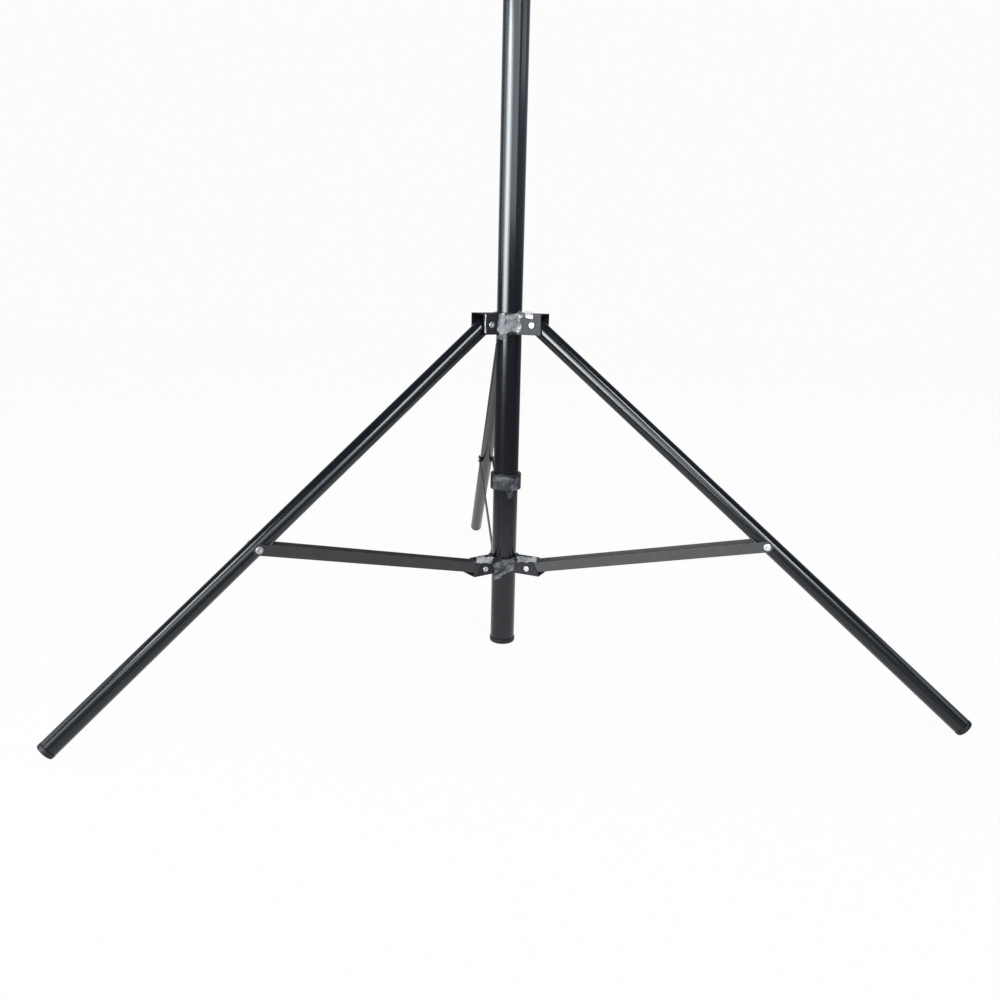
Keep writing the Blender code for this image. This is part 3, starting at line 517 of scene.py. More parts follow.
class Graph:
    """A material's or the world's node tree."""

    def __init__(self, tree: bpy.types.NodeTree) -> None:
        """Hold a node tree."""
        self.tree = tree

    def node(self, kind: str, settings: dict[str, object] | None = None,
             inputs: dict[str | int, object] | None = None) -> bpy.types.Node:
        """Add a node, set its settings first and then its sockets.

        Args:
            kind: The node's type.
            settings: Properties, and under the key ramp a colour ramp's stops.
            inputs: Values or links by socket name or number.

        Returns:
            The node.
        """
        node = self.tree.nodes.new(kind)
        for key, value in (settings or {}).items():
            if key == "ramp":
                self._set_ramp(node.color_ramp, value)
            else:
                setattr(node, key, value)
        for key, value in (inputs or {}).items():
            if isinstance(value, Signal):
                self.tree.links.new(value.socket, node.inputs[key])
            else:
                node.inputs[key].default_value = value
        return node

    @staticmethod
    def _set_ramp(ramp: bpy.types.ColorRamp, stops: Sequence[tuple[float, float]]) -> None:
        """Give a ramp its stops.

        Args:
            ramp: The colour ramp.
            stops: Grey stops as (position, level).
        """
        while len(ramp.elements) < len(stops):
            ramp.elements.new(1.0)
        for element, (position, level) in zip(ramp.elements, stops):
            element.position = position
            element.color = (level, level, level, 1)

    def signal(self, kind: str, output: str | int, settings: dict[str, object] | None = None,
               inputs: dict[str | int, object] | None = None) -> Signal:
        """Add a node and return one of its outputs."""
        return Signal(self, self.node(kind, settings, inputs).outputs[output])

    def math(self, operation: str, first: Signal | float, second: Signal | float) -> Signal:
        """Add a Math node."""
        return self.signal("ShaderNodeMath", 0, {"operation": operation}, {0: first, 1: second})

    def mix(self, factor: Signal | float, first: object, second: object) -> Signal:
        """Mix two colours.

        Args:
            factor: Share of the second colour.
            first: Colour or link.
            second: Colour or link.

        Returns:
            The mixed colour.
        """
        node = self.node("ShaderNodeMix", {"data_type": "RGBA"}, {0: factor})
        for index, value in ((6, first), (7, second)):
            if isinstance(value, Signal):
                self.tree.links.new(value.socket, node.inputs[index])
            else:
                node.inputs[index].default_value = (*value, 1)
        return Signal(self, node.outputs[2])

    def noise(self, coords: Signal, scale: float, detail: float = 2.0, roughness: float = 0.5) -> Signal:
        """Add a noise texture and return its factor."""
        return self.signal("ShaderNodeTexNoise", "Fac", None,
                           {"Vector": coords, "Scale": scale, "Detail": detail, "Roughness": roughness})

    def ramp(self, value: Signal, stops: Sequence[tuple[float, float]]) -> Signal:
        """Pass a value through a ramp of grey stops."""
        return self.signal("ShaderNodeValToRGB", "Color", {"ramp": stops}, {"Fac": value})


@dataclass(frozen=True)
class Finish:
    """A surface finish: its colours and gloss, and a material made from nodes."""

    name: str
    dark: tuple[float, float, float]
    light: tuple[float, float, float]
    roughness: float
    slot: Slot

    def material(self, frame: Matrix | None = None) -> bpy.types.Material:
        """Make the material, with its grain laid along a frame's Z.

        Args:
            frame: The frame that the piece was built in, or None for the object's own.

        Returns:
            The material.
        """
        material = bpy.data.materials.new(self.name)
        material.use_nodes = True
        graph = Graph(material.node_tree)
        turn = (frame or Matrix.Identity(4)).to_quaternion().inverted().to_euler()
        coords = graph.signal("ShaderNodeMapping", 0, {"vector_type": "POINT"},
                              {"Vector": graph.signal("ShaderNodeTexCoord", "Object"), "Rotation": turn})
        self.paint(graph, material.node_tree.nodes["Principled BSDF"], coords)
        return material

    def paint(self, graph: Graph, shader: bpy.types.Node, coords: Signal) -> None:
        """Wire the finish's nodes into a Principled shader.

        Args:
            graph: The material's nodes.
            shader: Its Principled shader.
            coords: Coordinates in metres, Z along the piece.
        """
        raise NotImplementedError

    @staticmethod
    def wire(graph: Graph, shader: bpy.types.Node, color: Signal, roughness: Signal, height: Signal,
             depth: float) -> None:
        """Link colour, roughness and a bump to the shader.

        Args:
            graph: The material's nodes.
            shader: Its Principled shader.
            color: The base colour.
            roughness: The roughness.
            height: The bump's height, 0 to 1.
            depth: The bump's depth in metres.
        """
        graph.tree.links.new(color.socket, shader.inputs["Base Color"])
        graph.tree.links.new(roughness.socket, shader.inputs["Roughness"])
        bump = graph.signal("ShaderNodeBump", "Normal", None,
                            {"Height": height, "Distance": depth, "Strength": 1.0})
        graph.tree.links.new(bump.socket, shader.inputs["Normal"])


@dataclass(frozen=True)
class GlossTube(Finish):
    """Gloss black coat over drawn tube: long faint draw lines under a hard, slightly wavy gloss."""

    def paint(self, graph: Graph, shader: bpy.types.Node, coords: Signal) -> None:
        """Wire the coat's nodes.

        Args:
            graph: The material's nodes.
            shader: Its Principled shader.
            coords: Coordinates along the piece's own axes.
        """
        stretched = graph.signal("ShaderNodeMapping", 0, None, {"Vector": coords, "Scale": (1, 1, 0.012)})
        lines = graph.noise(stretched, 900, 3)
        waves = graph.noise(coords, 22, 2)
        peel = graph.noise(coords, 620, 2)
        dust = graph.ramp(graph.noise(coords, 1500, 4, 0.7), [(0.62, 0), (0.72, 1)])
        color = graph.mix(waves * 0.6 + dust * 0.25, self.dark, self.light)
        rough = self.roughness + waves * 0.03 + lines * 0.02 + dust * 0.08
        self.wire(graph, shader, color, rough, lines * 0.75 + peel * 0.25, 0.0000002)


@dataclass(frozen=True)
class SatinBar(Finish):
    """Satin dark paint on flat steel bar: fine orange peel, edges rubbed a little by folding."""

    def paint(self, graph: Graph, shader: bpy.types.Node, coords: Signal) -> None:
        """Wire the paint's nodes.

        Args:
            graph: The material's nodes.
            shader: Its Principled shader.
            coords: Coordinates along the piece's own axes.
        """
        stretched = graph.signal("ShaderNodeMapping", 0, None, {"Vector": coords, "Scale": (1, 1, 0.05)})
        rub = graph.ramp(graph.noise(stretched, 420, 4, 0.65), [(0.58, 0), (0.75, 1)])
        cloud = graph.noise(coords, 60, 3)
        peel = graph.noise(coords, 1300, 2)
        color = graph.mix(cloud * 0.5 + rub * 0.5, self.dark, self.light)
        rough = self.roughness + cloud * 0.10 - rub * 0.08
        self.wire(graph, shader, color, rough, peel, 0.000012)


@dataclass(frozen=True)
class MouldedPlastic(Finish):
    """Moulded plastic: fine spark-eroded grain with soft flow marks."""

    specular: float = 0.25

    def paint(self, graph: Graph, shader: bpy.types.Node, coords: Signal) -> None:
        """Wire the plastic's nodes.

        Args:
            graph: The material's nodes.
            shader: Its Principled shader.
            coords: Coordinates along the piece's own axes.
        """
        grain = graph.noise(coords, 3200, 2)
        flow = graph.noise(coords, 75, 3, 0.6)
        pale = graph.ramp(graph.noise(coords, 420, 5, 0.7), [(0.60, 0), (0.80, 1)])
        color = graph.mix(flow * 0.5 + pale * 0.4, self.dark, self.light)
        rough = self.roughness + flow * 0.12 + grain * 0.06
        shader.inputs["Specular IOR Level"].default_value = self.specular
        self.wire(graph, shader, color, rough, grain * 0.7 + flow * 0.3, 0.00002)


@dataclass(frozen=True)
class CastPaint(Finish):
    """Black paint on a casting: a coarse skin with small pits under a half gloss."""

    def paint(self, graph: Graph, shader: bpy.types.Node, coords: Signal) -> None:
        """Wire the paint's nodes.

        Args:
            graph: The material's nodes.
            shader: Its Principled shader.
            coords: Coordinates along the piece's own axes.
        """
        skin = graph.noise(coords, 750, 4, 0.6)
        pits = graph.signal("ShaderNodeTexVoronoi", "Distance", {"feature": "F1"}, {"Vector": coords, "Scale": 900.0})
        cloud = graph.noise(coords, 45, 2)
        color = graph.mix(cloud * 0.7 + skin * 0.3, self.dark, self.light)
        rough = self.roughness + skin * 0.14
        self.wire(graph, shader, color, rough, skin * 0.7 + pits * 0.5, 0.00004)


@dataclass(frozen=True)
class BrightZinc(Finish):
    """Bright zinc plate: metal with faint turning rings and cloudy patches."""

    def paint(self, graph: Graph, shader: bpy.types.Node, coords: Signal) -> None:
        """Wire the plate's nodes.

        Args:
            graph: The material's nodes.
            shader: Its Principled shader.
            coords: Coordinates along the piece's own axes.
        """
        cloud = graph.noise(coords, 260, 3, 0.6)
        fine = graph.noise(coords, 2600, 3)
        color = graph.mix(cloud, self.dark, self.light)
        rough = self.roughness + cloud * 0.14 + fine * 0.05
        shader.inputs["Metallic"].default_value = 1.0
        self.wire(graph, shader, color, rough, fine, 0.000006)


@dataclass(frozen=True)
class ClearFilm(Finish):
    """Clear packing film: a thin shiny skin that is seen by its glare and its creases."""

    veil: tuple[float, float] = (0.12, 0.62)

    def paint(self, graph: Graph, shader: bpy.types.Node, coords: Signal) -> None:
        """Wire the film's nodes.

        Args:
            graph: The material's nodes.
            shader: Its Principled shader.
            coords: Coordinates along the piece's own axes.
        """
        stretched = graph.signal("ShaderNodeMapping", 0, None, {"Vector": coords, "Scale": (1, 1, 2.2)})
        crease = graph.noise(stretched, 120, 1, 0.4)
        # the veil sets how pale and opaque the film is: a real haze for most strips, painted glare for the near-white
        # film
        haze_and_glare = graph.ramp(graph.noise(coords, 70, 4, 0.65), [(0.40, self.veil[0]), (0.66, self.veil[1])])
        color = graph.mix(haze_and_glare, self.dark, self.light)
        rough = self.roughness + crease * 0.12
        graph.tree.links.new(haze_and_glare.socket, shader.inputs["Alpha"])
        self.wire(graph, shader, color, rough, crease, 0.0002)


GLOSS_BLACK = GlossTube("gloss_black_tube", (0.0018, 0.0028, 0.0055), (0.006, 0.009, 0.016), 0.13, Slot.TUBE)
SATIN_BLACK = SatinBar("satin_black_bar", (0.020, 0.020, 0.022), (0.045, 0.045, 0.048), 0.40, Slot.BAR)
BLACK_PLASTIC = MouldedPlastic("black_plastic", (0.008, 0.009, 0.012), (0.026, 0.028, 0.034), 0.38, Slot.PLASTIC)
CAST_BLACK = CastPaint("black_cast_metal", (0.016, 0.016, 0.018), (0.034, 0.034, 0.037), 0.34, Slot.CAST)
BRIGHT_ZINC = BrightZinc("bright_zinc", (0.36, 0.36, 0.39), (0.56, 0.56, 0.58), 0.34, Slot.ZINC)
WIRE_ZINC = BrightZinc("wire_zinc", (0.14, 0.14, 0.15), (0.24, 0.24, 0.25), 0.42, Slot.ZINC)
GREY_NYLON = MouldedPlastic("grey_nylon", (0.16, 0.16, 0.17), (0.24, 0.24, 0.25), 0.48, Slot.NYLON)
CLEAR_FILM = ClearFilm("clear_film", (0.34, 0.36, 0.40), (0.76, 0.79, 0.84), 0.16, Slot.PLASTIC)
THIN_FILM = ClearFilm("thin_film", (0.26, 0.28, 0.32), (0.50, 0.53, 0.58), 0.18, Slot.PLASTIC, (0.05, 0.42))
HAZY_FILM = ClearFilm("hazy_film", (0.46, 0.48, 0.51), (0.70, 0.72, 0.75), 0.24, Slot.PLASTIC, (0.26, 0.70))
# painted glare: a near-white, nearly opaque film whose colour paints the film's glare, laid only where that glare
# shows
PAINTED_GLARE_FILM = ClearFilm("painted_glare_film", (0.64, 0.66, 0.69), (0.88, 0.89, 0.91), 0.22, Slot.PLASTIC, (0.60, 0.92))


def fit(obj: bpy.types.Object, finish: Finish, body: str, *nodes: str, frame: Matrix | None = None) -> None:
    """Give a piece its finish and its body, and let it stand for nodes.

    Args:
        obj: The finished piece.
        finish: Its surface.
        body: The body that it rides on.
        nodes: The solids that it stands for.
        frame: The frame that its grain follows.
    """
    obj.data.materials.clear()
    obj.data.materials.append(finish.material(frame))
    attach(obj, body)
    if nodes:
        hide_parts(*nodes)
    LOG.info("%s on %s stands for %s", obj.name, body, ", ".join(nodes) or "nothing")


# Pieces that several sub-assemblies share


@dataclass
class Clearance:
    """The named gaps of the stand."""

    fit: float = 0.0003
    running: float = 0.0004


@dataclass
class Rivets:
    """Rivets: domed heads on a plain shank."""

    shank: float = 0.003
    head_height: float = 0.0018
    roll: float = 0.0011
    roll_height: float = 0.0007
    dimple: float = 0.0013

    def head(self, radius: float, seat: float) -> list[tuple[float, float]]:
        """Profile of a rolled head from the foot at seat up to its dimple.

        Args:
            radius: The head's radius.
            seat: Height of its foot.

        Returns:
            The stations, rim first.
        """
        top = seat + self.head_height
        rim = arc((radius - self.roll, seat + self.roll_height), self.roll, -30, 62, 6)
        crown = [(radius * 0.52, top - 0.0001), (radius * 0.40, top)]
        hollow = [(self.dimple, top - 0.0004), (self.dimple * 0.8, top - 0.0012)]
        return [(radius - 0.0004, seat)] + rim + crown + hollow

    def through(self, grip: float, radius: float, shoulder: tuple[float, float] | None) -> bpy.types.Object:
        """Model a rivet along Z with a head at both ends.

        Args:
            grip: Half of what it grips, to the heads' feet.
            radius: The heads' radius.
            shoulder: Radius and half length of a thicker middle, if any.

        Returns:
            The rivet.
        """
        upper = self.head(radius, grip)[::-1] + [(self.shank, grip)]
        if shoulder:
            upper += [(self.shank, shoulder[1]), shoulder]
        return turned("rivet", upper + [(r, -z) for r, z in reversed(upper)], Facets.SMALL)

    def stub(self, seat: float, tip: float, radius: float) -> bpy.types.Object:
        """Model one head that points along +Z, with its stub in a bar.

        Args:
            seat: Height of the head's foot.
            tip: Height of the stub's end.
            radius: The head's radius.

        Returns:
            The rivet head.
        """
        return turned("rivet_head", self.head(radius, seat)[::-1] + [(self.shank, seat), (self.shank, tip)],
                      Facets.SMALL)


@dataclass
class WingKnob:
    """A lock knob: a stud, a round foot and two moulded wings."""

    stud: float = 0.004
    foot_radius: float = 0.0085
    neck_radius: float = 0.0068
    foot_height: float = 0.005
    edge: float = 0.0006
    span: float = 0.040
    waist: float = 0.018
    tip: float = 0.011
    thickness: float = 0.010
    tip_draw: float = 1.22
    root_draw: float = 0.92

    def model(self, name: str, seat: float) -> bpy.types.Object:
        """Model the knob on Z, its stud's tip at Z = 0.

        Args:
            name: The object's name.
            seat: Height at which its foot stands on a boss.

        Returns:
            The knob.
        """
        low = seat + self.foot_height
        middle = low + self.thickness / 2
        foot = [(self.stud - self.edge, 0), (self.stud, self.edge), (self.stud, seat),
                (self.foot_radius - self.edge, seat), (self.foot_radius, seat + self.edge),
                (self.foot_radius - 0.0004, seat + 0.0022), (self.neck_radius, low), (self.neck_radius, middle)]
        knob = turned(name, foot, Facets.SMALL)
        return smooth(combine(knob, self.wings(middle), "UNION"), 50)

    def wings(self, middle: float) -> bpy.types.Object:
        """Model the two wings, subdivided from a block that is drawn in towards its tips.

        Args:
            middle: Height of their middle.

        Returns:
            The wings in one object.
        """
        half = self.span / 2
        wings = block("wings", (-half, -self.waist / 2, middle - self.thickness / 2),
                      (half, self.waist / 2, middle + self.thickness / 2))
        with editing(wings):
            bpy.ops.mesh.select_all(action="SELECT")
            bpy.ops.mesh.subdivide(number_cuts=3)
        for vertex in wings.data.vertices:
            share = abs(vertex.co.x) / half
            if share > 0.25:
                vertex.co.y *= self.tip / self.waist * (self.tip_draw if share > 0.75 else self.root_draw)
        apply_modifier(wings, "SUBSURF", levels=2, render_levels=2)
        grow = (self.span / wings.dimensions.x, 1.0, self.thickness / wings.dimensions.z, 1.0)
        rise = lifted(middle)
        return place(wings, rise @ Matrix.Diagonal(grow) @ rise.inverted())

    def mount(self, name: str, frame: Matrix, tip: float, foot: float) -> None:
        """Model and dress a knob on an axis.

        Args:
            name: The knob's node and body.
            frame: Frame whose Z is the knob's axis.
            tip: Height of the stud's tip on that axis.
            foot: Height at which the knob's foot stands.
        """
        seat = frame @ lifted(tip)
        fit(place(self.model(f"{name}_smooth", foot - tip), seat), BLACK_PLASTIC, name, name, frame=seat)


@dataclass
class Boss:
    """The round boss that a lock knob's stud goes through."""

    radius: float = 0.0075
    length: float = 0.008
    hole: float = 0.0043
    flare: float = 0.0012
    flare_length: float = 0.004
    edge: float = 0.0006

    def add(self, holder: bpy.types.Object, outside: float, bore: float, frame: Matrix,
            sunk: float = 0.0026) -> float:
        """Join the boss to a sleeve along a frame's Z and cut its hole.

        Args:
            holder: The sleeve.
            outside: The sleeve's radius.
            bore: Distance from the axis at which its hole starts.
            frame: Frame whose Z is the boss's axis.
            sunk: How far the boss's root lies inside the sleeve.

        Returns:
            Distance of the boss's end from the axis.
        """
        root = outside - sunk
        end = outside + self.length
        stations = [(self.radius + self.flare, root), (self.radius, root + self.flare_length),
                    (self.radius, end - self.edge), (self.radius - self.edge, end)]
        combine(holder, place(turned("boss", stations, Facets.SMALL), frame), "UNION")
        drill(holder, self.hole, bore, end + OVERCUT, frame)
        return end


@dataclass
class Spigot:
    """A 16 mm stud with a groove, on a flange over a tube's end at Z = 0."""

    radius: float = 0.008
    length: float = 0.038
    flange: float = 0.004
    plug: float = 0.030
    round_top: float = 0.0012
    groove_start: float = 0.016
    groove_width: float = 0.008
    groove_depth: float = 0.0015

    def add(self, node: str, body: Body, tube: float, wall: float, gap: float, frame: Matrix) -> None:
        """Model and dress the stud on a tube's end.

        Args:
            node: The node that it stands for.
            body: The body that it rides on.
            tube: The tube's outer radius.
            wall: The tube's wall.
            gap: Clearance to the tube.
            frame: Frame at the tube's end, Z along the tube.
        """
        base = self.flange + gap
        top = base + self.length
        low = base + self.groove_start
        high = low + self.groove_width
        neck = self.radius - self.groove_depth
        bore = tube - wall
        profile = [(0.0016, top - 0.004), (0.0028, top - 0.0035), (0.0034, top), (self.radius - 0.0016, top)]
        profile += arc((self.radius - self.round_top, top - self.round_top), self.round_top, 90, 0, 4)
        profile += [(self.radius, high + 0.0004), (neck + 0.0003, high - self.groove_depth),
                    (neck, high - self.groove_depth - 0.0003), (neck, low + self.groove_depth + 0.0003),
                    (neck + 0.0003, low + self.groove_depth), (self.radius, low - 0.0004),
                    (self.radius, base + 0.0008), (self.radius + 0.0008, base), (tube - 0.0006, base),
                    (tube, base - 0.0006), (tube, gap), (bore - gap, gap), (bore - gap, -self.plug)]
        stud = turned(f"{node}_smooth", profile, Facets.SMALL)
        fit(place(stud, frame), BRIGHT_ZINC, body.value, node, frame=frame)


# The column


@dataclass
class Column:
    """The fixed column: its tube, end cap and stop collar."""

    gap: Clearance
    radius: float = 0.0175
    wall: float = 0.0012
    flange: float = 0.0075
    overhang: float = 0.0009
    plug: float = 0.018
    edge: float = 0.003
    collar_wall: float = 0.004
    collar_edge: float = 0.0011
    chip: float = 0.0003

    def build(self) -> None:
        """Build and dress the three pieces."""
        tube = self.tube("column_tube_smooth", self.radius, *heights("column_tube"))
        fit(tube, GLOSS_BLACK, Body.COLUMN.value, "column_tube")
        fit(self.cap(), BLACK_PLASTIC, Body.COLUMN.value, "column_end_cap")
        fit(self.stop_collar(), BLACK_PLASTIC, Body.COLUMN.value, "stop_collar")

    def tube(self, name: str, radius: float, low: float, high: float) -> bpy.types.Object:
        """Model a tube of the column's wall, with its cut ends broken a little.

        Args:
            name: The object's name.
            radius: Its outer radius.
            low: Height of its lower end.
            high: Height of its upper end.

        Returns:
            The tube.
        """
        bore = radius - self.wall
        profile = [(radius - self.chip, high), (radius, high - self.chip), (radius, low + self.chip),
                   (radius - self.chip, low), (bore, low), (bore, high)]
        return turned(name, profile, Facets.TUBE, closed=True)

    def cap(self) -> bpy.types.Object:
        """Model the end cap: a rounded flange with a shallow dished underside, and its plug.

        Returns:
            The cap.
        """
        rim = self.radius + self.overhang
        plug = self.radius - self.wall - self.gap.fit
        top = self.flange + self.plug
        profile = [(plug - 0.001, top), (plug, top - 0.001), (plug, self.flange),
                   (rim - self.chip, self.flange), (rim, self.flange - self.chip)]
        profile += arc((rim - self.edge, self.edge), self.edge, 0, -90, 8)
        profile += [(0.0118, 0), (0.0112, 0.0006), (0.0100, 0.0006), (0.0094, 0)]
        return turned("column_cap_smooth", profile, Facets.TUBE)

    def stop_collar(self) -> bpy.types.Object:
        """Model the stop collar: a plain ring with rounded edges.

        Returns:
            The collar.
        """
        low, high = heights("stop_collar")
        inner = self.radius + self.gap.fit
        middle = inner + self.collar_wall - self.collar_edge
        profile = [(inner, high - self.chip), (inner + self.chip, high)]
        profile += arc((middle, high - self.collar_edge), self.collar_edge, 90, 0, 5)
        profile += arc((middle, low + self.collar_edge), self.collar_edge, 0, -90, 5)
        profile += [(inner + self.chip, low), (inner, low + self.chip)]
        return turned("stop_collar_smooth", profile, Facets.HUB, closed=True)


# Hubs


@dataclass
class Hub:
    """A sleeve with three slotted lugs and the rivets through them."""

    gap: Clearance
    node: str
    body: Body
    pivots: dict[str, Vector]
    bore: float
    rivets: Rivets
    sleeve_radius: float = 0.0231
    sleeve_edge: float = 0.0008
    slot_half: float = 0.0131
    cheek: float = 0.0015
    depth: float = 0.0093
    web: float = 0.0015
    rise: float = 0.0100
    nose: float = 0.020
    sunk: float = 0.0026
    lug_edge: float = 0.0018
    head_radius: float = 0.0042

    @property
    def height(self) -> float:
        """Height of the pivots."""
        return self.pivots["back"].z

    @property
    def reach(self) -> float:
        """Distance of the pivots from the column's axis."""
        return self.pivots["back"].to_2d().length

    @property
    def grip(self) -> float:
        """Half of a lug's width with its gap."""
        return self.slot_half + self.cheek + self.gap.fit

    def arm(self, side: str) -> Matrix:
        """Frame at the pivots' height on the column's axis, X out along a lug."""
        out = self.pivots[side].to_2d()
        return lifted(self.height) @ Matrix.Rotation(math.atan2(out.y, out.x), 4, "Z")

    def across(self, side: str) -> Matrix:
        """Frame at a pivot whose Z is the rivet's axis."""
        return self.arm(side) @ Matrix.Translation((self.reach, 0, 0)) @ ACROSS

    def outline(self) -> list[tuple[Vector, Vector]]:
        """The two lines that cut a lug's block to its outline, in its arm's frame."""
        raise NotImplementedError

    def slot_heights(self) -> tuple[float, float]:
        """Lowest and highest Z of the cutter that opens a lug."""
        raise NotImplementedError

    def pads(self, hub: bpy.types.Object) -> None:
        """Join what stands inside the lugs beside the legs, which most hubs lack."""

    def sleeve(self) -> bpy.types.Object:
        """Model the solid sleeve before its bore is cut.

        Returns:
            The sleeve.
        """
        low, high = heights(self.node)
        inset = self.sleeve_edge * 0.3
        upper = [(self.sleeve_radius - self.sleeve_edge, high), (self.sleeve_radius - inset, high - inset),
                 (self.sleeve_radius, high - self.sleeve_edge)]
        lower = [(r, low + high - z) for r, z in reversed(upper)]
        return turned(self.node + "_smooth", upper + lower, Facets.HUB)

    def lug(self) -> bpy.types.Object:
        """Model one solid lug: a block cut to its outline, with rounded outer corners.

        Returns:
            The lug in its arm's frame.
        """
        half = self.slot_half + self.cheek
        root = math.sqrt((self.sleeve_radius - self.sunk) ** 2 - half ** 2)
        lug = block("lug", (root, -half, -self.depth), (self.reach + self.nose, half, self.rise))
        for start, stop in self.outline():
            run = stop - start
            slice_off(lug, start, (run.z, 0, -run.x))
        return round_edges(lug, lambda middle, way: along_y(way) and middle.x > self.reach, self.lug_edge, 6)

    def slot(self) -> bpy.types.Object:
        """Model the cutter that opens a lug.

        Returns:
            The cutter in its arm's frame.
        """
        low, high = self.slot_heights()
        near = self.sleeve_radius + self.gap.fit
        far = self.reach + self.nose + OVERCUT
        return block("slot", (near, -self.slot_half, low), (far, self.slot_half, high))

    def build(self) -> bpy.types.Object:
        """Build the hub with its lugs, slots, holes and bore.

        Returns:
            The hub, not dressed yet.
        """
        hub = self.sleeve()
        low, high = heights(self.node)
        for model, operation in ((self.lug(), "UNION"), (self.slot(), "DIFFERENCE")):
            for side, form in zip(SIDES, spread(model, SIDES)):
                combine(hub, place(form, self.arm(side)), operation)
        self.pads(hub)
        for side in SIDES:
            drill(hub, self.rivets.shank + self.gap.fit, -0.02, 0.02, self.across(side))
        return drill(hub, self.bore, low - OVERCUT, high + OVERCUT, sides=Facets.HUB)

    def add_rivets(self, stem: str, shoulder: tuple[float, float] | None = None) -> None:
        """Build and dress the rivets.

        Args:
            stem: Start of the rivets' node names.
            shoulder: Radius and half length of a thicker middle, if any.
        """
        model = self.rivets.through(self.grip, self.head_radius, shoulder)
        for side, rivet in zip(SIDES, spread(model, [f"{stem}_{side}_smooth" for side in SIDES])):
            frame = self.across(side)
            fit(place(rivet, frame), BRIGHT_ZINC, self.body.value, f"{stem}_{side}", frame=frame)


@dataclass
class LowerHub(Hub):
    """The fixed lower hub, whose lugs are upright U shapes round the brace bars."""

    corner: float = 0.0025
    shoulder: float = 0.0085
    bend: float = 0.0031
    rivet_middle: tuple[float, float] = (0.005, 0.011)
    screw_azimuth: float = 30.0
    screw_hole: float = 0.0023
    screw_shank: float = 0.002
    screw_head: float = 0.0038
    screw_root: float = 0.0175

    def outline(self) -> list[tuple[Vector, Vector]]:
        """A slope down from the lug's shoulder to its nose, and a steeper one to its foot."""
        end = self.reach + self.nose
        top = Vector((self.reach + self.shoulder, 0, self.rise))
        bend = Vector((end, 0, -self.bend))
        foot = Vector((end - self.corner, 0, -self.depth))
        return [(bend, top), (foot, bend)]

    def slot_heights(self) -> tuple[float, float]:
        """The slot is open above, so that the bars can fold up."""
        return -self.depth + self.web, self.rise + OVERCUT

    def dress(self) -> None:
        """Build the hub, its rivets and its fixing screw."""
        frame = radial_frame(self.height, self.screw_azimuth)
        hub = drill(self.build(), self.screw_hole, self.screw_root, self.sleeve_radius + OVERCUT, frame)
        fit(soften(hub, 0.00035), BLACK_PLASTIC, self.body.value, self.node)
        self.add_rivets("brace_pivot_rivet", self.rivet_middle)
        foot = self.sleeve_radius + self.gap.fit
        profile = [(0.0009, foot + 0.0012), (0.0009, foot + 0.0021), (0.0022, foot + 0.0021),
                   (0.0032, foot + 0.0016), (self.screw_head, foot + 0.0004), (self.screw_head, foot),
                   (self.screw_shank, foot), (self.screw_shank, self.screw_root + self.gap.fit)]
        screw = place(turned("lower_hub_screw_smooth", profile, Facets.SMALL), frame)
        fit(screw, BRIGHT_ZINC, self.body.value, "lower_hub_screw", frame=frame)


@dataclass
class UpperHub(Hub):
    """The sliding upper hub, whose lugs are inverted U shapes over the legs' tops."""

    slot_half: float = 0.01285
    cheek: float = 0.002
    depth: float = 0.013
    web: float = 0.0022
    rise: float = 0.0152
    nose: float = 0.0125
    heel: float = 0.0075
    brow: float = 0.0091
    crown: float = 0.0069
    pad_radius: float = 0.007
    pad_height: float = 0.00155
    pad_edge: float = 0.0003
    knob_azimuth: float = 150.0
    column_radius: float = 0.0175

    def outline(self) -> list[tuple[Vector, Vector]]:
        """A slope from the lug's crown to its brow, and one from its nose in to its heel."""
        end = self.reach + self.nose
        crown = Vector((self.reach + self.crown, 0, self.rise))
        heel = Vector((self.reach + self.heel, 0, -self.depth))
        return [(Vector((end, 0, self.brow)), crown), (heel, Vector((end, 0, 0)))]

    def slot_heights(self) -> tuple[float, float]:
        """The slot is open below, so that the leg can swing."""
        return -self.depth - OVERCUT, self.rise - self.web

    def pads(self, hub: bpy.types.Object) -> None:
        """Join the round pads that keep each leg in the middle of its lug.

        Args:
            hub: The hub in work.
        """
        near = self.slot_half - self.pad_height
        stations = [(self.pad_radius, self.slot_half + self.cheek / 2), (self.pad_radius, near + self.pad_edge),
                    (self.pad_radius - self.pad_edge, near)]
        names = [f"pad_{side}_{hand}" for side in SIDES for hand in "ab"]
        for index, pad in enumerate(spread(turned("pad", stations, Facets.SMALL), names)):
            flip = Matrix.Rotation(math.pi * (1 - index % 2), 4, "X")
            combine(hub, place(pad, self.across(SIDES[index // 2]) @ flip), "UNION")

    def dress(self, knob: WingKnob, boss: Boss) -> None:
        """Build the hub, its rivets and its lock knob.

        Args:
            knob: The lock knob's model.
            boss: The boss's model.
        """
        hub = self.build()
        frame = radial_frame(sum(heights("hub_knob")) / 2, self.knob_azimuth)
        end = boss.add(hub, self.sleeve_radius, self.column_radius, frame)
        fit(soften(hub, 0.0006), BLACK_PLASTIC, self.body.value, self.node)
        self.add_rivets("leg_pivot_rivet")
        knob.mount("hub_knob", frame, self.column_radius + self.gap.fit, end + self.gap.fit)


# Legs and braces


@dataclass
class Link:
    """Three alike links, each from a hub's pivot along the line to its joint."""

    gap: Clearance
    rivets: Rivets
    pivots: dict[str, Vector]
    joints: dict[str, Vector]
    axes: dict[str, Vector]

    @property
    def joint(self) -> float:
        """Distance of the joint from the pivot."""
        return (self.joints["back"] - self.pivots["back"]).length

    def frame(self, side: str) -> Matrix:
        """Frame at a pivot, Z along the link, Y along the pivot's axis."""
        return frame_along(self.pivots[side], self.joints[side] - self.pivots[side], self.axes[side])

    def cross_hole(self, obj: bpy.types.Object, distance: float, half: float = 0.014) -> bpy.types.Object:
        """Cut a rivet's hole across a piece, at a distance from the pivot."""
        return drill(obj, self.rivets.shank + self.gap.fit, -half, half, lifted(distance) @ ACROSS)


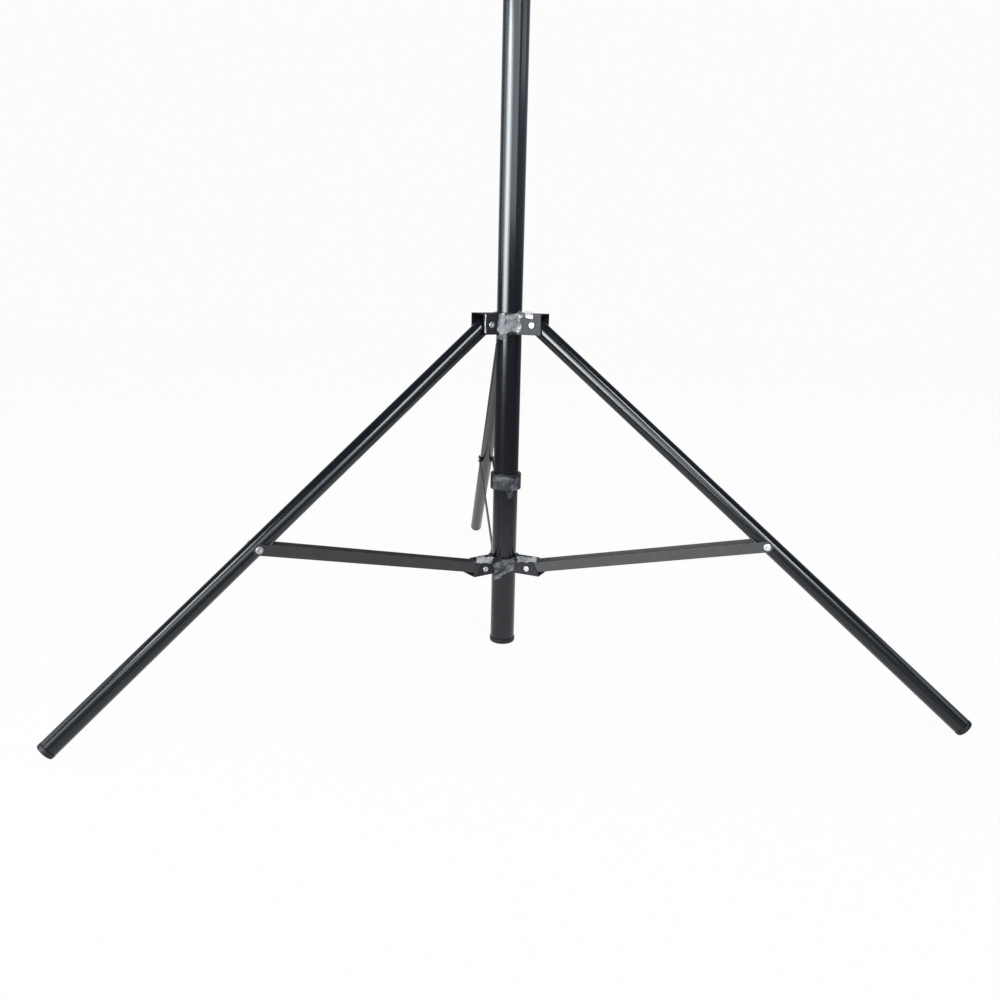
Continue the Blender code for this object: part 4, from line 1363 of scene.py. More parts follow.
@dataclass
class Legs(Link):
    """The legs: each a tube, a top plug and an end cap."""

    radius: float = 0.011
    wall: float = 0.001
    length: float = 0.740
    overrun: float = 0.0055
    chip: float = 0.0003
    cap_height: float = 0.006
    cap_overhang: float = 0.0001
    cap_edge: float = 0.0024
    cap_plug: float = 0.016
    plug_depth: float = 0.016

    def build(self) -> None:
        """Model each kind of piece once, and dress a copy of it on each leg."""
        for kind, finish, model in (("tube", GLOSS_BLACK, self.tube()), ("top_plug", BLACK_PLASTIC, self.top_plug()),
                                    ("end_cap", BLACK_PLASTIC, self.end_cap())):
            for side, piece in zip(SIDES, spread(model, [f"leg_{side}_{kind}_smooth" for side in SIDES])):
                frame = self.frame(side)
                fit(place(piece, frame), finish, f"leg_{side}", f"leg_{side}_{kind}", frame=frame)

    def tube(self) -> bpy.types.Object:
        """Model the tube, with stations that keep the facets short round both rivet holes.

        Returns:
            The tube.
        """
        bore = self.radius - self.wall
        end = self.length - self.cap_height - self.gap.fit
        guard = self.rivets.shank * 1.5
        stops = (guard, self.joint - guard, self.joint + guard)
        outer = [(self.radius - self.chip, -self.overrun), (self.radius, -self.overrun + self.chip)]
        outer += [(self.radius, stop) for stop in (*stops, end - self.chip)] + [(self.radius - self.chip, end)]
        inner = [(bore, z) for z in (end, *reversed(stops), -self.overrun)]
        tube = turned("leg_tube", outer + inner, Facets.LEG, closed=True)
        self.cross_hole(tube, 0)
        return smooth(self.cross_hole(tube, self.joint))

    def top_plug(self) -> bpy.types.Object:
        """Model the domed plug in the leg's top end.

        Returns:
            The plug.
        """
        dome = math.hypot(self.radius, self.overrun) - self.gap.fit
        foot = self.overrun + self.gap.fit
        plug = self.radius - self.wall - self.gap.fit
        profile = [(r, -z) for r, z in arc((0, 0), dome, 86, math.degrees(math.asin(foot / dome)), 8)]
        profile += [(plug, -foot), (plug, self.plug_depth)]
        return smooth(self.cross_hole(turned("leg_plug", profile, Facets.LEG), 0))

    def end_cap(self) -> bpy.types.Object:
        """Model the end cap: a rounded flange with a dished face, and its plug.

        Returns:
            The cap.
        """
        rim = self.radius + self.cap_overhang
        end = self.length
        seat = end - self.cap_height
        plug = self.radius - self.wall - self.gap.fit
        low = seat - self.cap_plug
        profile = [(plug - 0.0008, low), (plug, low + 0.0008), (plug, seat), (rim - self.chip, seat),
                   (rim, seat + self.chip)]
        profile += arc((rim - self.cap_edge, end - self.cap_edge), self.cap_edge, 0, 90, 8)
        profile += [(0.0072, end), (0.0066, end - 0.0006), (0.0050, end - 0.0008)]
        return turned("leg_cap", profile, Facets.LEG)


@dataclass
class Braces(Link):
    """The braces: each two flat bars from the lower hub to a leg, with their rivet heads."""

    height: float = 0.014
    thickness: float = 0.0015
    leg_radius: float = 0.011
    head_radius: float = 0.0049

    def bar(self) -> bpy.types.Object:
        """Model a flat bar with round ends and two holes, on the +Y side of its leg.

        Returns:
            The bar, in the brace's frame.
        """
        half = self.height / 2
        inner = self.leg_radius + self.gap.fit
        bar = block("bar", (-half, inner, -half), (half, inner + self.thickness, self.joint + half))
        round_edges(bar, lambda middle, way: along_y(way), half - HAIR, 14)
        for distance in (0, self.joint):
            self.cross_hole(bar, distance, 0.02)
        return soften(bar, 0.00025)

    def build(self) -> None:
        """Model the bar and the rivet head once, and dress copies of them on both sides of each leg."""
        inner = self.leg_radius + self.gap.fit
        model_bar = self.bar()
        model_head = self.rivets.stub(inner + self.thickness + self.gap.fit, inner, self.head_radius)
        for side in SIDES:
            body = f"brace_{side}"
            frame = self.frame(side)
            across = frame @ lifted(self.joint) @ ACROSS
            for hand, turn in (("a", 0.0), ("b", math.pi)):
                bar = copied(model_bar, f"{body}_bar_{hand}_smooth")
                place(bar, frame @ Matrix.Rotation(turn, 4, "Z"))
                fit(bar, SATIN_BLACK, body, f"{body}_bar_{hand}", frame=frame)
                head = copied(model_head, f"{body}_rivet_{hand}_smooth")
                place(head, across @ Matrix.Rotation(math.pi - turn, 4, "X"))
                fit(head, BRIGHT_ZINC, body, f"{body}_rivet_{hand}", frame=across)
        for model in (model_bar, model_head):
            bpy.data.objects.remove(model, do_unlink=True)


# Sections, collars and knobs of the column and the boom


@dataclass
class LockCollar:
    """A collar at a tube's end, with the knob that locks the tube inside."""

    gap: Clearance
    knob: WingKnob
    boss: Boss
    skirt: float = 0.030
    head: float = 0.022
    wall: float = 0.0045
    chamfer: float = 0.0025
    edge: float = 0.0004
    boss_sunk: float = 0.0021
    knob_azimuth: float = 270.0

    def add(self, node: str, body: Body, radii: tuple[float, float], knob: str, base: Matrix) -> None:
        """Build and dress a collar and its knob.

        Args:
            node: The collar's node.
            body: The body that it rides on.
            radii: Radius of the outer tube and of the tube that slides in it.
            knob: The knob's node and body.
            base: Frame at the outer tube's end, Z along the tube.
        """
        outer, inner = radii
        knob_frame = radial_frame(self.head / 2, self.knob_azimuth)
        seat = outer + self.gap.fit
        throat = inner + self.gap.fit
        outside = seat + self.wall
        neck = outside - self.chamfer
        waist = outside - self.chamfer * 0.6
        groove = outside - 0.0006
        profile = [(throat, self.head - self.edge), (throat + self.edge, self.head), (neck - self.edge, self.head),
                   (neck + 0.0008, self.head - 0.0003), (outside - 0.0003, self.head - self.chamfer),
                   (outside, self.head - self.chamfer - 0.0006), (outside, -0.0055), (groove, -0.0062),
                   (groove, -0.0078), (outside, -0.0085), (outside, -self.skirt * 0.4),
                   (waist + self.edge, -self.skirt + 0.0012), (waist - self.edge, -self.skirt),
                   (seat + self.edge, -self.skirt), (seat, -self.skirt + self.edge), (seat, self.gap.fit),
                   (throat, self.gap.fit)]
        collar = turned(f"{node}_smooth", profile, Facets.HUB, closed=True)
        end = self.boss.add(collar, outside, inner, knob_frame, self.boss_sunk)
        fit(place(smooth(collar), base), BLACK_PLASTIC, body.value, node, frame=base)
        self.knob.mount(knob, base @ knob_frame, throat, end + self.gap.fit)


@dataclass
class Mast:
    """The two sliding sections of the column, their collars, knobs and spigot."""

    gap: Clearance
    column: Column
    collar: LockCollar
    spigot: Spigot
    mid_radius: float = 0.015
    top_radius: float = 0.0125

    def build(self) -> None:
        """Build and dress the sections from the column's top upwards."""
        for node, body, knob, radii in (
            ("lower_collar", Body.COLUMN, "lower_collar_knob", (self.column.radius, self.mid_radius)),
            ("upper_collar", Body.MID, "upper_collar_knob", (self.mid_radius, self.top_radius)),
        ):
            base = lifted(heights(node)[1] - self.collar.head)
            self.collar.add(node, body, radii, knob, base)
        for node, body, radius in (("mid_tube", Body.MID, self.mid_radius), ("top_tube", Body.TOP, self.top_radius)):
            fit(self.column.tube(f"{node}_smooth", radius, *heights(node)), GLOSS_BLACK, body.value, node)
        top = lifted(heights("top_tube")[1])
        self.spigot.add("top_spigot", Body.TOP, self.top_radius, self.column.wall, self.gap.fit, top)


@dataclass
class BoomHead:
    """The head that turns on the top spigot and tilts the clamp between its ears."""

    gap: Clearance
    knob: WingKnob
    boss: Boss
    tilt_height: float
    bore: float = 0.0083
    wall: float = 0.0087
    roof: float = 0.004
    depth: float = 0.038
    ear_radius: float = 0.014
    ear_thickness: float = 0.007
    tongue: float = 0.0154
    nut_radius: float = 0.0075
    nut_height: float = 0.0065
    knob_height: float = 0.020
    knob_azimuth: float = 90.0

    def build(self) -> None:
        """Build and dress the socket, the tilt bolt's nut and both knobs."""
        low = heights("head_socket")[0]
        reach = self.tongue / 2 + self.gap.fit + self.ear_thickness
        axis = lifted(self.tilt_height) @ ACROSS
        socket = place(self.socket(), lifted(low))
        for turn, ear in zip((math.pi, 0.0), spread(self.ear(low), ("ear_a", "ear_b"))):
            combine(socket, place(ear, lifted(self.tilt_height) @ Matrix.Rotation(turn, 4, "Z")), "UNION")
        drill(socket, self.boss.hole, -reach - OVERCUT, reach + OVERCUT, axis)
        knob_frame = radial_frame(low + self.knob_height, self.knob_azimuth)
        end = self.boss.add(socket, self.bore + self.wall, self.bore - self.gap.fit, knob_frame)
        fit(soften(socket, 0.0006), CAST_BLACK, Body.HEAD.value, "head_socket")
        self.knob.mount("head_knob", knob_frame, self.bore, end + self.gap.fit)
        self.tilt_bolt(axis, reach + self.gap.fit)

    def socket(self) -> bpy.types.Object:
        """Model the socket over the spigot, its mouth at Z = 0.

        Returns:
            The socket without its ears.
        """
        roof = self.depth + self.gap.fit
        outside = self.bore + self.wall
        groove = outside - 0.0008
        top = self.depth + self.roof
        profile = [(0.001, roof), (self.bore, roof), (self.bore, 0.0006), (self.bore + 0.0006, 0), (groove, 0),
                   (outside, 0.0008), (outside, 0.010), (groove, 0.0108), (groove, 0.0128), (outside, 0.0136),
                   (outside, top - 0.0025), (groove, top - 0.0012), (outside - 0.0025, top), (0.001, top)]
        return turned("head_socket_smooth", profile, Facets.HUB)

    def ear(self, low: float) -> bpy.types.Object:
        """Model the ear on the +Y side, its round end about the tilt axis at Z = 0.

        Args:
            low: Height of the socket's mouth.

        Returns:
            The ear.
        """
        near = self.tongue / 2 + self.gap.fit
        foot = self.tilt_height - low - self.depth - self.roof + OVERCUT
        radius = self.ear_radius
        ear = block("ear", (-radius, near, -foot), (radius, near + self.ear_thickness, radius))
        return round_edges(ear, lambda middle, way: along_y(way) and middle.z > 0, radius - HAIR, 14)

    def tilt_bolt(self, axis: Matrix, seat: float) -> None:
        """Build and dress the nut and the winged knob on the tilt axis.

        Args:
            axis: Frame whose Z is the tilt axis.
            seat: Distance of nut and knob from the middle.
        """
        deselect()
        bpy.ops.mesh.primitive_cylinder_add(vertices=6, radius=self.nut_radius, depth=self.nut_height)
        nut = bpy.context.object
        nut.name = "tilt_nut_smooth"
        soften(drill(nut, self.boss.hole, -0.01, 0.01), 0.0005)
        place(nut, axis @ lifted(-seat - self.nut_height / 2))
        fit(nut, BRIGHT_ZINC, Body.HEAD.value, "tilt_nut", frame=axis)
        self.knob.mount("tilt_knob", axis, -seat - self.nut_height, seat)


@dataclass
class BoomClamp:
    """The sleeve that holds the boom, on a tongue between the head's ears."""

    gap: Clearance
    knob: WingKnob
    boss: Boss
    tilt_height: float
    boom_rise: float = 0.045
    boom_radius: float = 0.015
    wall: float = 0.0055
    length: float = 0.064
    band: float = 0.010
    edge: float = 0.0015
    recess: float = 0.0009
    tongue: float = 0.0154
    tongue_radius: float = 0.013
    flare: float = 0.34
    shoulder: float = 0.45

    def build(self) -> None:
        """Build and dress the clamp and its knob."""
        bore = self.boom_radius + self.gap.fit
        outside = bore + self.wall
        half = self.length / 2
        inset = half - self.band - self.recess
        upper = [(outside - self.edge, half), (outside - 0.0004, half - 0.0004), (outside, half - self.edge),
                 (outside, half - self.band), (outside - self.recess, inset)]
        up = lifted(self.tilt_height + self.boom_rise)
        clamp = turned("boom_clamp_smooth", upper + [(r, -z) for r, z in reversed(upper)], Facets.HUB)
        combine(place(clamp, up @ ALONG_X), self.tongue_block(), "UNION")
        drill(clamp, self.boss.hole, -0.012, 0.012, lifted(self.tilt_height) @ ACROSS)
        end = self.boss.add(clamp, outside, self.boom_radius, up)
        drill(clamp, bore, -half - OVERCUT, half + OVERCUT, up @ ALONG_X, Facets.HUB)
        fit(soften(clamp, 0.0006), CAST_BLACK, Body.CLAMP.value, "boom_clamp")
        self.knob.mount("clamp_knob", up, bore, end + self.gap.fit)

    def tongue_block(self) -> bpy.types.Object:
        """Model the tongue: round below, and flared where it meets the sleeve.

        Returns:
            The tongue in its place.
        """
        root = self.boom_rise - self.boom_radius - self.gap.fit - self.wall / 2
        flare = self.length * self.flare
        half = self.tongue / 2
        tongue = block("tongue", (-flare, -half, -self.tongue_radius), (flare, half, root))
        shoulder = root * self.shoulder
        for way in (-1, 1):
            start = Vector((way * self.tongue_radius, 0, shoulder))
            run = Vector((way * flare, 0, root)) - start
            slice_off(tongue, start, (way * run.z, 0, -abs(run.x)))
        for way in (-1, 1):
            near, far = sorted((way * self.tongue_radius, way * 0.05))
            side = block("side", (near, -half - 0.001, -0.03), (far, half + 0.001, shoulder))
            combine(tongue, side, "DIFFERENCE")
        round_edges(tongue, lambda middle, way: along_y(way) and middle.z < -self.tongue_radius * 0.9,
                    self.tongue_radius - HAIR, 14)
        return place(tongue, lifted(self.tilt_height))


@dataclass
class Boom:
    """The boom: outer tube, collar, inner tube, stud, rear cap and hook."""

    gap: Clearance
    column: Column
    collar: LockCollar
    spigot: Spigot
    height: float
    radius: float = 0.015
    inner_radius: float = 0.0125
    nose_length: float = 0.016
    nose_radius: float = 0.008
    wire: float = 0.0025
    bend: float = 0.012
    drop: float = 0.020
    lip: float = 0.008

    @property
    def axis(self) -> Matrix:
        """Frame on the boom's axis, Z along +X."""
        return lifted(self.height) @ ALONG_X

    def build(self) -> None:
        """Build and dress the boom's pieces."""
        ends = []
        outer, inner = (Body.BOOM_OUTER, self.radius), (Body.BOOM_INNER, self.inner_radius)
        for kind, (body, radius) in (("outer", outer), ("inner", inner)):
            rear, front = (corner.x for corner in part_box(f"boom_{kind}_tube"))
            tube = place(self.column.tube(f"boom_{kind}_smooth", radius, rear, front), self.axis)
            fit(tube, GLOSS_BLACK, body.value, f"boom_{kind}_tube", frame=self.axis)
            ends.append((rear, front))
        (outer_rear, outer_front), (_, inner_front) = ends
        self.collar.add("boom_collar", Body.BOOM_OUTER, (self.radius, self.inner_radius), "boom_knob",
                        self.axis @ lifted(outer_front))
        self.spigot.add("light_spigot", Body.BOOM_INNER, self.inner_radius, self.column.wall, self.gap.fit,
                        self.axis @ lifted(inner_front))
        self.rear_end(outer_rear)

    def rear_end(self, rear: float) -> None:
        """Build and dress the rear cap and the counterweight's hook.

        Args:
            rear: X of the outer tube's rear end.
        """
        flange = self.column.flange
        start = rear - flange - self.gap.fit
        rim = self.radius + self.column.overhang
        plug = self.radius - self.column.wall - self.gap.fit
        nose, end = self.nose_radius, -self.nose_length
        profile = [(plug, flange + self.column.plug), (plug, flange), (rim, flange), (rim, 0.0009), (rim - 0.0009, 0),
                   (nose + 0.0012, 0), (nose, -0.0012), (nose, end + 0.0016), (nose - 0.0005, end + 0.0005),
                   (nose - 0.0016, end)]
        seat = self.axis @ lifted(start)
        down = Matrix.Translation((start + end / 2, 0, self.height))
        cap = place(turned("boom_rear_cap_smooth", profile, Facets.HUB), seat)
        drill(cap, self.wire + self.gap.fit, -0.010, 0.010, down)
        fit(soften(cap, 0.0003), BLACK_PLASTIC, Body.BOOM_OUTER.value, "boom_rear_cap", frame=seat)
        fit(self.hook(down), WIRE_ZINC, Body.BOOM_OUTER.value, "weight_hook", frame=down)

    def hook(self, frame: Matrix) -> bpy.types.Object:
        """Model the wire hook: a disc is extruded down its shank, spun round its bend and extruded up its lip.

        Args:
            frame: Frame of the shank, Z up.

        Returns:
            The hook.
        """
        low = -self.nose_radius - self.drop
        deselect()
        bpy.ops.mesh.primitive_circle_add(vertices=20, radius=self.wire, fill_type="NGON",
                                          location=(0, 0, self.nose_radius))
        hook = bpy.context.object
        hook.name = "weight_hook_smooth"
        bpy.ops.object.mode_set(mode="EDIT")
        bpy.ops.mesh.select_all(action="SELECT")
        bpy.ops.mesh.extrude_region_move(TRANSFORM_OT_translate={"value": (0, 0, low - self.nose_radius)})
        bpy.ops.mesh.spin(steps=24, angle=-math.pi, center=(self.bend, 0, low), axis=(0, 1, 0))
        bpy.ops.mesh.extrude_region_move(TRANSFORM_OT_translate={"value": (0, 0, self.lip)})
        bpy.ops.mesh.select_all(action="SELECT")
        bpy.ops.mesh.remove_doubles(threshold=0.00001)
        bpy.ops.mesh.normals_make_consistent(inside=False)
        bpy.ops.object.mode_set(mode="OBJECT")
        return smooth(place(rest(hook), frame))


@dataclass
class PackingFilm:
    """Clear packing film: a strip that clings to a piece and to the column beside it.

    Its frame's Z points away from the piece, and its X runs along the strip. With a reach, what finds
    no surface within it stands free.
    """

    name: str
    target: str
    body: Body
    frame: Matrix
    length: float
    width: float
    finish: ClearFilm = CLEAR_FILM
    reach: float = 0.0
    cling: float = 0.0010
    thickness: float = 0.00008
    creases: float = 0.0009
    crease_size: float = 0.007
    tatter: float = 0.0080
    tatter_size: float = 0.009
    cell: float = 0.0012

    def build(self) -> None:
        """Lay a grid over the target, let it relax, crease it and give it a thickness."""
        deselect()
        counts = (round(self.length / self.cell), round(self.width / self.cell))
        bpy.ops.mesh.primitive_grid_add(x_subdivisions=counts[0], y_subdivisions=counts[1], size=1)
        film = bpy.context.object
        film.name = self.name
        film.scale = (self.length, self.width, 1)
        rest(film)
        film.matrix_world = self.frame
        torn = self.clouds("torn", self.tatter_size)
        for way in ("X", "Y"):
            apply_modifier(film, "DISPLACE", texture=torn, texture_coords="GLOBAL", direction=way,
                           strength=self.tatter, mid_level=0.5)
        apply_modifier(film, "SHRINKWRAP", wrap_method="PROJECT", use_project_z=True, use_negative_direction=True,
                       use_positive_direction=False, target=bpy.data.objects[self.target], project_limit=self.reach,
                       auxiliary_target=bpy.data.objects["column_tube_smooth"], offset=self.cling)
        apply_modifier(film, "SMOOTH", factor=0.5, iterations=3)
        apply_modifier(film, "DISPLACE", texture=self.clouds("creased", self.crease_size), texture_coords="GLOBAL",
                       strength=self.creases, mid_level=0.0)
        apply_modifier(film, "SOLIDIFY", thickness=self.thickness, offset=1)
        smooth(rest(film), 60)
        film.data.materials.append(self.finish.material())
        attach(film, self.body.value)
        LOG.info("%s on %s", film.name, self.body.value)

    def clouds(self, kind: str, size: float) -> bpy.types.Texture:
        """Make a cloud texture.

        Args:
            kind: What it shapes: creases or a torn outline.
            size: Its noise size.

        Returns:
            The texture.
        """
        texture = bpy.data.textures.new(f"{self.name}_{kind}", "CLOUDS")
        texture.noise_scale = size
        return texture


@dataclass
class Wrapping:
    """What is left of the packing film: on both hubs and on the stop collar. Three near-white strips on the upper hub
    paint the film's glare and the column's highlight through it.
    """

    upper: UpperHub
    lower: LowerHub
    collar_height: float
    distance: float = 0.06
    lift: float = 0.003
    reach: float = 0.007

    def around(self, height: float, azimuth: float, slant: float) -> Matrix:
        """Frame of a strip before the column, turned by a slant in degrees."""
        return radial_frame(height, azimuth) @ lifted(self.distance) @ Matrix.Rotation(math.radians(slant), 4, "Z")

    def on_lug(self, hub: Hub, side: str, way: int, out: float, up: float, slant: float) -> Matrix:
        """Frame of a strip on a lug's cheek.

        Args:
            hub: The hub.
            side: The lug's side.
            way: The cheek, 1 or -1.
            out: Distance outwards from the pivot.
            up: Height over the pivot.
            slant: Turn of the strip in degrees.

        Returns:
            The frame, a little off the cheek.
        """
        face = hub.slot_half + hub.cheek + self.lift
        seat = hub.arm(side) @ Matrix.Translation((hub.reach + out, way * face, up))
        turn = Matrix.Rotation(-way * math.pi / 2, 4, "X") @ Matrix.Rotation(math.radians(slant), 4, "Z")
        return seat @ turn

    def build(self) -> None:
        """Build the strips, each with its frame, length, width and what else sets it apart."""
        top, low, ring = self.upper.height, self.lower.height, self.collar_height
        hub = ("upper_hub_smooth", Body.UPPER_HUB)
        base = ("lower_hub_smooth", Body.COLUMN)
        collar = ("stop_collar_smooth", Body.COLUMN)
        free = self.reach
        for name, holder, frame, length, width, more in (
            ("hub_film_slant", hub, self.around(top - 0.001, 271, 52), 0.046, 0.0085, {}),
            ("hub_film_band", hub, self.around(top + 0.002, 264, 2), 0.031, 0.025, {}),
            # painted highlight: a narrow near-white strip that paints the column's highlight running on through the
            # film over the hub
            ("hub_film_glare_line", hub, self.around(top + 0.001, 243.5, 88), 0.029, 0.0045,
             {"finish": PAINTED_GLARE_FILM, "tatter": 0.003}),
            # film wrapped round the left lug's cheek end; its near-white colour paints the highlight along that edge
            ("hub_film_left_glare", hub, self.on_lug(self.upper, "left", 1, 0.0112, 0.002, 90), 0.025, 0.0036,
             {"finish": PAINTED_GLARE_FILM, "reach": free, "tatter": 0.003}),
            # painted glare: a near-white patch on the right lug's corner stands for the film's blown highlight there
            ("hub_film_corner_glare", hub, self.on_lug(self.upper, "right", -1, -0.004, 0.0140, 6), 0.012, 0.011,
             {"finish": PAINTED_GLARE_FILM, "reach": free, "tatter": 0.004}),
            ("collar_film_band", collar, self.around(ring + 0.011, 266, -4), 0.036, 0.019, {"finish": THIN_FILM}),
            ("collar_film_tail", collar, self.around(ring - 0.001, 284, 12), 0.009, 0.018,
             {"finish": THIN_FILM, "tatter": 0.004}),
            ("base_film_band", base, self.around(low + 0.001, 266, 6), 0.030, 0.016, {"finish": THIN_FILM}),
            ("base_film_slant", base, self.around(low - 0.012, 262, 36), 0.032, 0.006, {}),
            ("base_film_left", base, self.on_lug(self.lower, "left", 1, 0.004, 0.0145, -10), 0.030, 0.009,
             {"finish": HAZY_FILM, "reach": free}),
            ("base_film_right", base, self.on_lug(self.lower, "right", -1, 0.001, 0.0145, 8), 0.030, 0.009,
             {"finish": HAZY_FILM, "reach": free}),
        ):
            PackingFilm(name, *holder, frame, length, width, **more).build()


def keep_inner_pieces() -> None:
    """Give the solids that stay hidden inside the tubes their finish."""
    inner = {f"{section}_glide": GREY_NYLON for section in ("mid", "top", "boom")}
    inner |= {f"leg_{side}_joint_pin": BRIGHT_ZINC for side in SIDES}
    for node, finish in inner.items():
        bpy.data.objects[node].material_slots[0].material = finish.material()
    LOG.info("%d inner solids keep their shape", len(inner))


# Studio and camera


@dataclass(frozen=True)
class SoftBox:
    """A rectangular lamp that faces a point."""

    name: str
    place: tuple[float, float, float]
    target: tuple[float, float, float]
    width: float
    height: float
    power: float
    in_diffuse: bool = True
    color: tuple[float, float, float] = (1.0, 1.0, 1.0)

    def add(self) -> None:
        """Add the lamp."""
        lamp = bpy.data.lights.new(self.name, "AREA")
        lamp.shape = "RECTANGLE"
        lamp.size = self.width
        lamp.size_y = self.height
        lamp.energy = self.power
        lamp.color = self.color
        holder = bpy.data.objects.new(self.name, lamp)
        bpy.context.scene.collection.objects.link(holder)
        holder.location = self.place
        aim = Vector(self.target) - Vector(self.place)
        holder.rotation_euler = aim.to_track_quat("-Z", "Y").to_euler()
        holder.visible_camera = False
        holder.visible_diffuse = self.in_diffuse


@dataclass(frozen=True)
class Studio:
    """A pale floor and soft light, white to the camera."""

    floor_height: float
    floor_span: float = 16.0
    daylight: float = 0.52
    floor_glow: float = 0.955
    backdrop: float = 0.976
    dim_room: float = 0.22
    ceiling: float = 0.16
    walls: float = 0.60
    cool: tuple[float, float, float] = (0.84, 0.94, 1.0)
    pool_radius: float = 0.55

    def build(self) -> None:
        """Add the floor, the world and the lamps."""
        self.floor()
        self.world()
        for lamp in self.lamps():
            lamp.add()

    @staticmethod
    def seen(graph: Graph) -> Signal:
        """1 for camera, glossy and transmission rays, 0 for the light that falls on things."""
        rays = graph.node("ShaderNodeLightPath")
        total = Signal(graph, rays.outputs["Is Camera Ray"]) + Signal(graph, rays.outputs["Is Glossy Ray"])
        return (total + Signal(graph, rays.outputs["Is Transmission Ray"])) > 0.5

    @staticmethod
    def mirrored(graph: Graph) -> Signal:
        """1 for what gloss shows, 0 for the rest."""
        return graph.signal("ShaderNodeLightPath", "Is Glossy Ray")

    def floor(self) -> None:
        """Add the plain floor, which is white to the camera and still takes a faint shadow."""
        deselect()
        bpy.ops.mesh.primitive_plane_add(size=self.floor_span, location=(0, 0, self.floor_height))
        floor = bpy.context.object
        floor.name = "studio_floor"
        rest(floor)
        material = bpy.data.materials.new("pale_floor")
        material.use_nodes = True
        graph = Graph(material.node_tree)
        matt = material.node_tree.nodes["Principled BSDF"]
        matt.inputs["Base Color"].default_value = (0.86, 0.86, 0.86, 1)
        matt.inputs["Roughness"].default_value = 0.9
        matt.inputs["Specular IOR Level"].default_value = 0.0
        place = graph.signal("ShaderNodeTexCoord", "Object")
        far = graph.signal("ShaderNodeVectorMath", "Value", {"operation": "LENGTH"}, {0: place})
        pool = graph.ramp(far * 0.5, [(self.pool_radius * 0.5, 1), (self.pool_radius, 0)])
        mirrored = self.mirrored(graph)
        level = mirrored * (self.dim_room + pool * (1 - self.dim_room)) + (1 - mirrored)
        glow = graph.node("ShaderNodeEmission", None,
                          {"Color": graph.mix(level, (0, 0, 0), (1, 1, 1)), "Strength": 1.0})
        share = self.seen(graph) * self.floor_glow
        mixed = graph.node("ShaderNodeMixShader", None, {"Fac": share})
        graph.tree.links.new(matt.outputs[0], mixed.inputs[1])
        graph.tree.links.new(glow.outputs[0], mixed.inputs[2])
        graph.tree.links.new(mixed.outputs[0], material.node_tree.nodes["Material Output"].inputs["Surface"])
        floor.data.materials.append(material)
        floor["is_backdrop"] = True

    def world(self) -> None:
        """Set the world: soft light on things, and plain white to the camera.

        Gloss shows that white behind the stand, and a dimmer, slightly blue room round and above it.
        """
        world = bpy.data.worlds.new("studio")
        world.use_nodes = True
        bpy.context.scene.world = world
        graph = Graph(world.node_tree)
        soft = world.node_tree.nodes["Background"]
        soft.inputs["Color"].default_value = (0.97, 0.98, 1.0, 1)
        soft.inputs["Strength"].default_value = self.daylight
        way = graph.signal("ShaderNodeTexCoord", "Generated")
        parts = graph.node("ShaderNodeSeparateXYZ", None, {"Vector": way})
        height = Signal(graph, parts.outputs["Z"])
        above = graph.ramp(height, [(0.25, 0), (0.50, 1)])
        behind = graph.ramp(Signal(graph, parts.outputs["Y"]), [(0.45, 0), (0.90, 1)])
        behind = behind * (self.backdrop - self.dim_room)
        round_about = graph.ramp(height, [(0.0, 0), (0.06, 1)]) * (self.walls - self.dim_room)
        sides = graph.math("MAXIMUM", behind, round_about)
        gloss = self.dim_room + sides * (1 - above) + above * (self.ceiling - self.dim_room)
        mirrored = self.mirrored(graph)
        level = mirrored * gloss + (1 - mirrored) * self.backdrop
        tint = graph.mix(level, (0, 0, 0), graph.mix(mirrored, (1, 1, 1), self.cool))
        white = graph.node("ShaderNodeBackground", None, {"Color": tint, "Strength": 1.0})
        mixed = graph.node("ShaderNodeMixShader", None, {"Fac": self.seen(graph)})
        graph.tree.links.new(soft.outputs[0], mixed.inputs[1])
        graph.tree.links.new(white.outputs[0], mixed.inputs[2])
        graph.tree.links.new(mixed.outputs[0], world.node_tree.nodes["World Output"].inputs["Surface"])

    def lamps(self) -> list[SoftBox]:
        """List the lamps: a high key, a small left box, and a strip, its halo and three walls for the gloss.

        Returns:
            The lamps.
        """
        return [
            SoftBox("key_softbox", (0.85, -2.04, 2.30), (0.10, -0.10, 0.60), 0.55, 1.5, 40.0),
            SoftBox("left_softbox", (-1.10, -0.81, 1.29), (-0.35, -0.15, 0.15), 0.45, 0.45, 7.5),
            SoftBox("front_wall", (-0.34, -1.37, 1.00), (-0.20, 0.0, 1.00), 2.4, 0.64, 16.0, False, self.cool),
            SoftBox("strip_softbox", (-2.62, -2.17, 1.00), (0.0, 0.0, 1.00), 1.7, 1.54, 150.0, False),
            SoftBox("strip_halo", (-2.62, -2.17, 1.00), (0.0, 0.0, 1.00), 3.6, 1.54, 120.0, False, self.cool),
            SoftBox("left_wall", (-2.9, -0.5, 1.30), (0.0, 0.0, 1.30), 2.6, 1.4, 24.0, False, self.cool),
            SoftBox("right_wall", (2.6, -0.9, 1.50), (0.0, 0.0, 1.50), 2.2, 0.4, 5.5, False, self.cool),
        ]


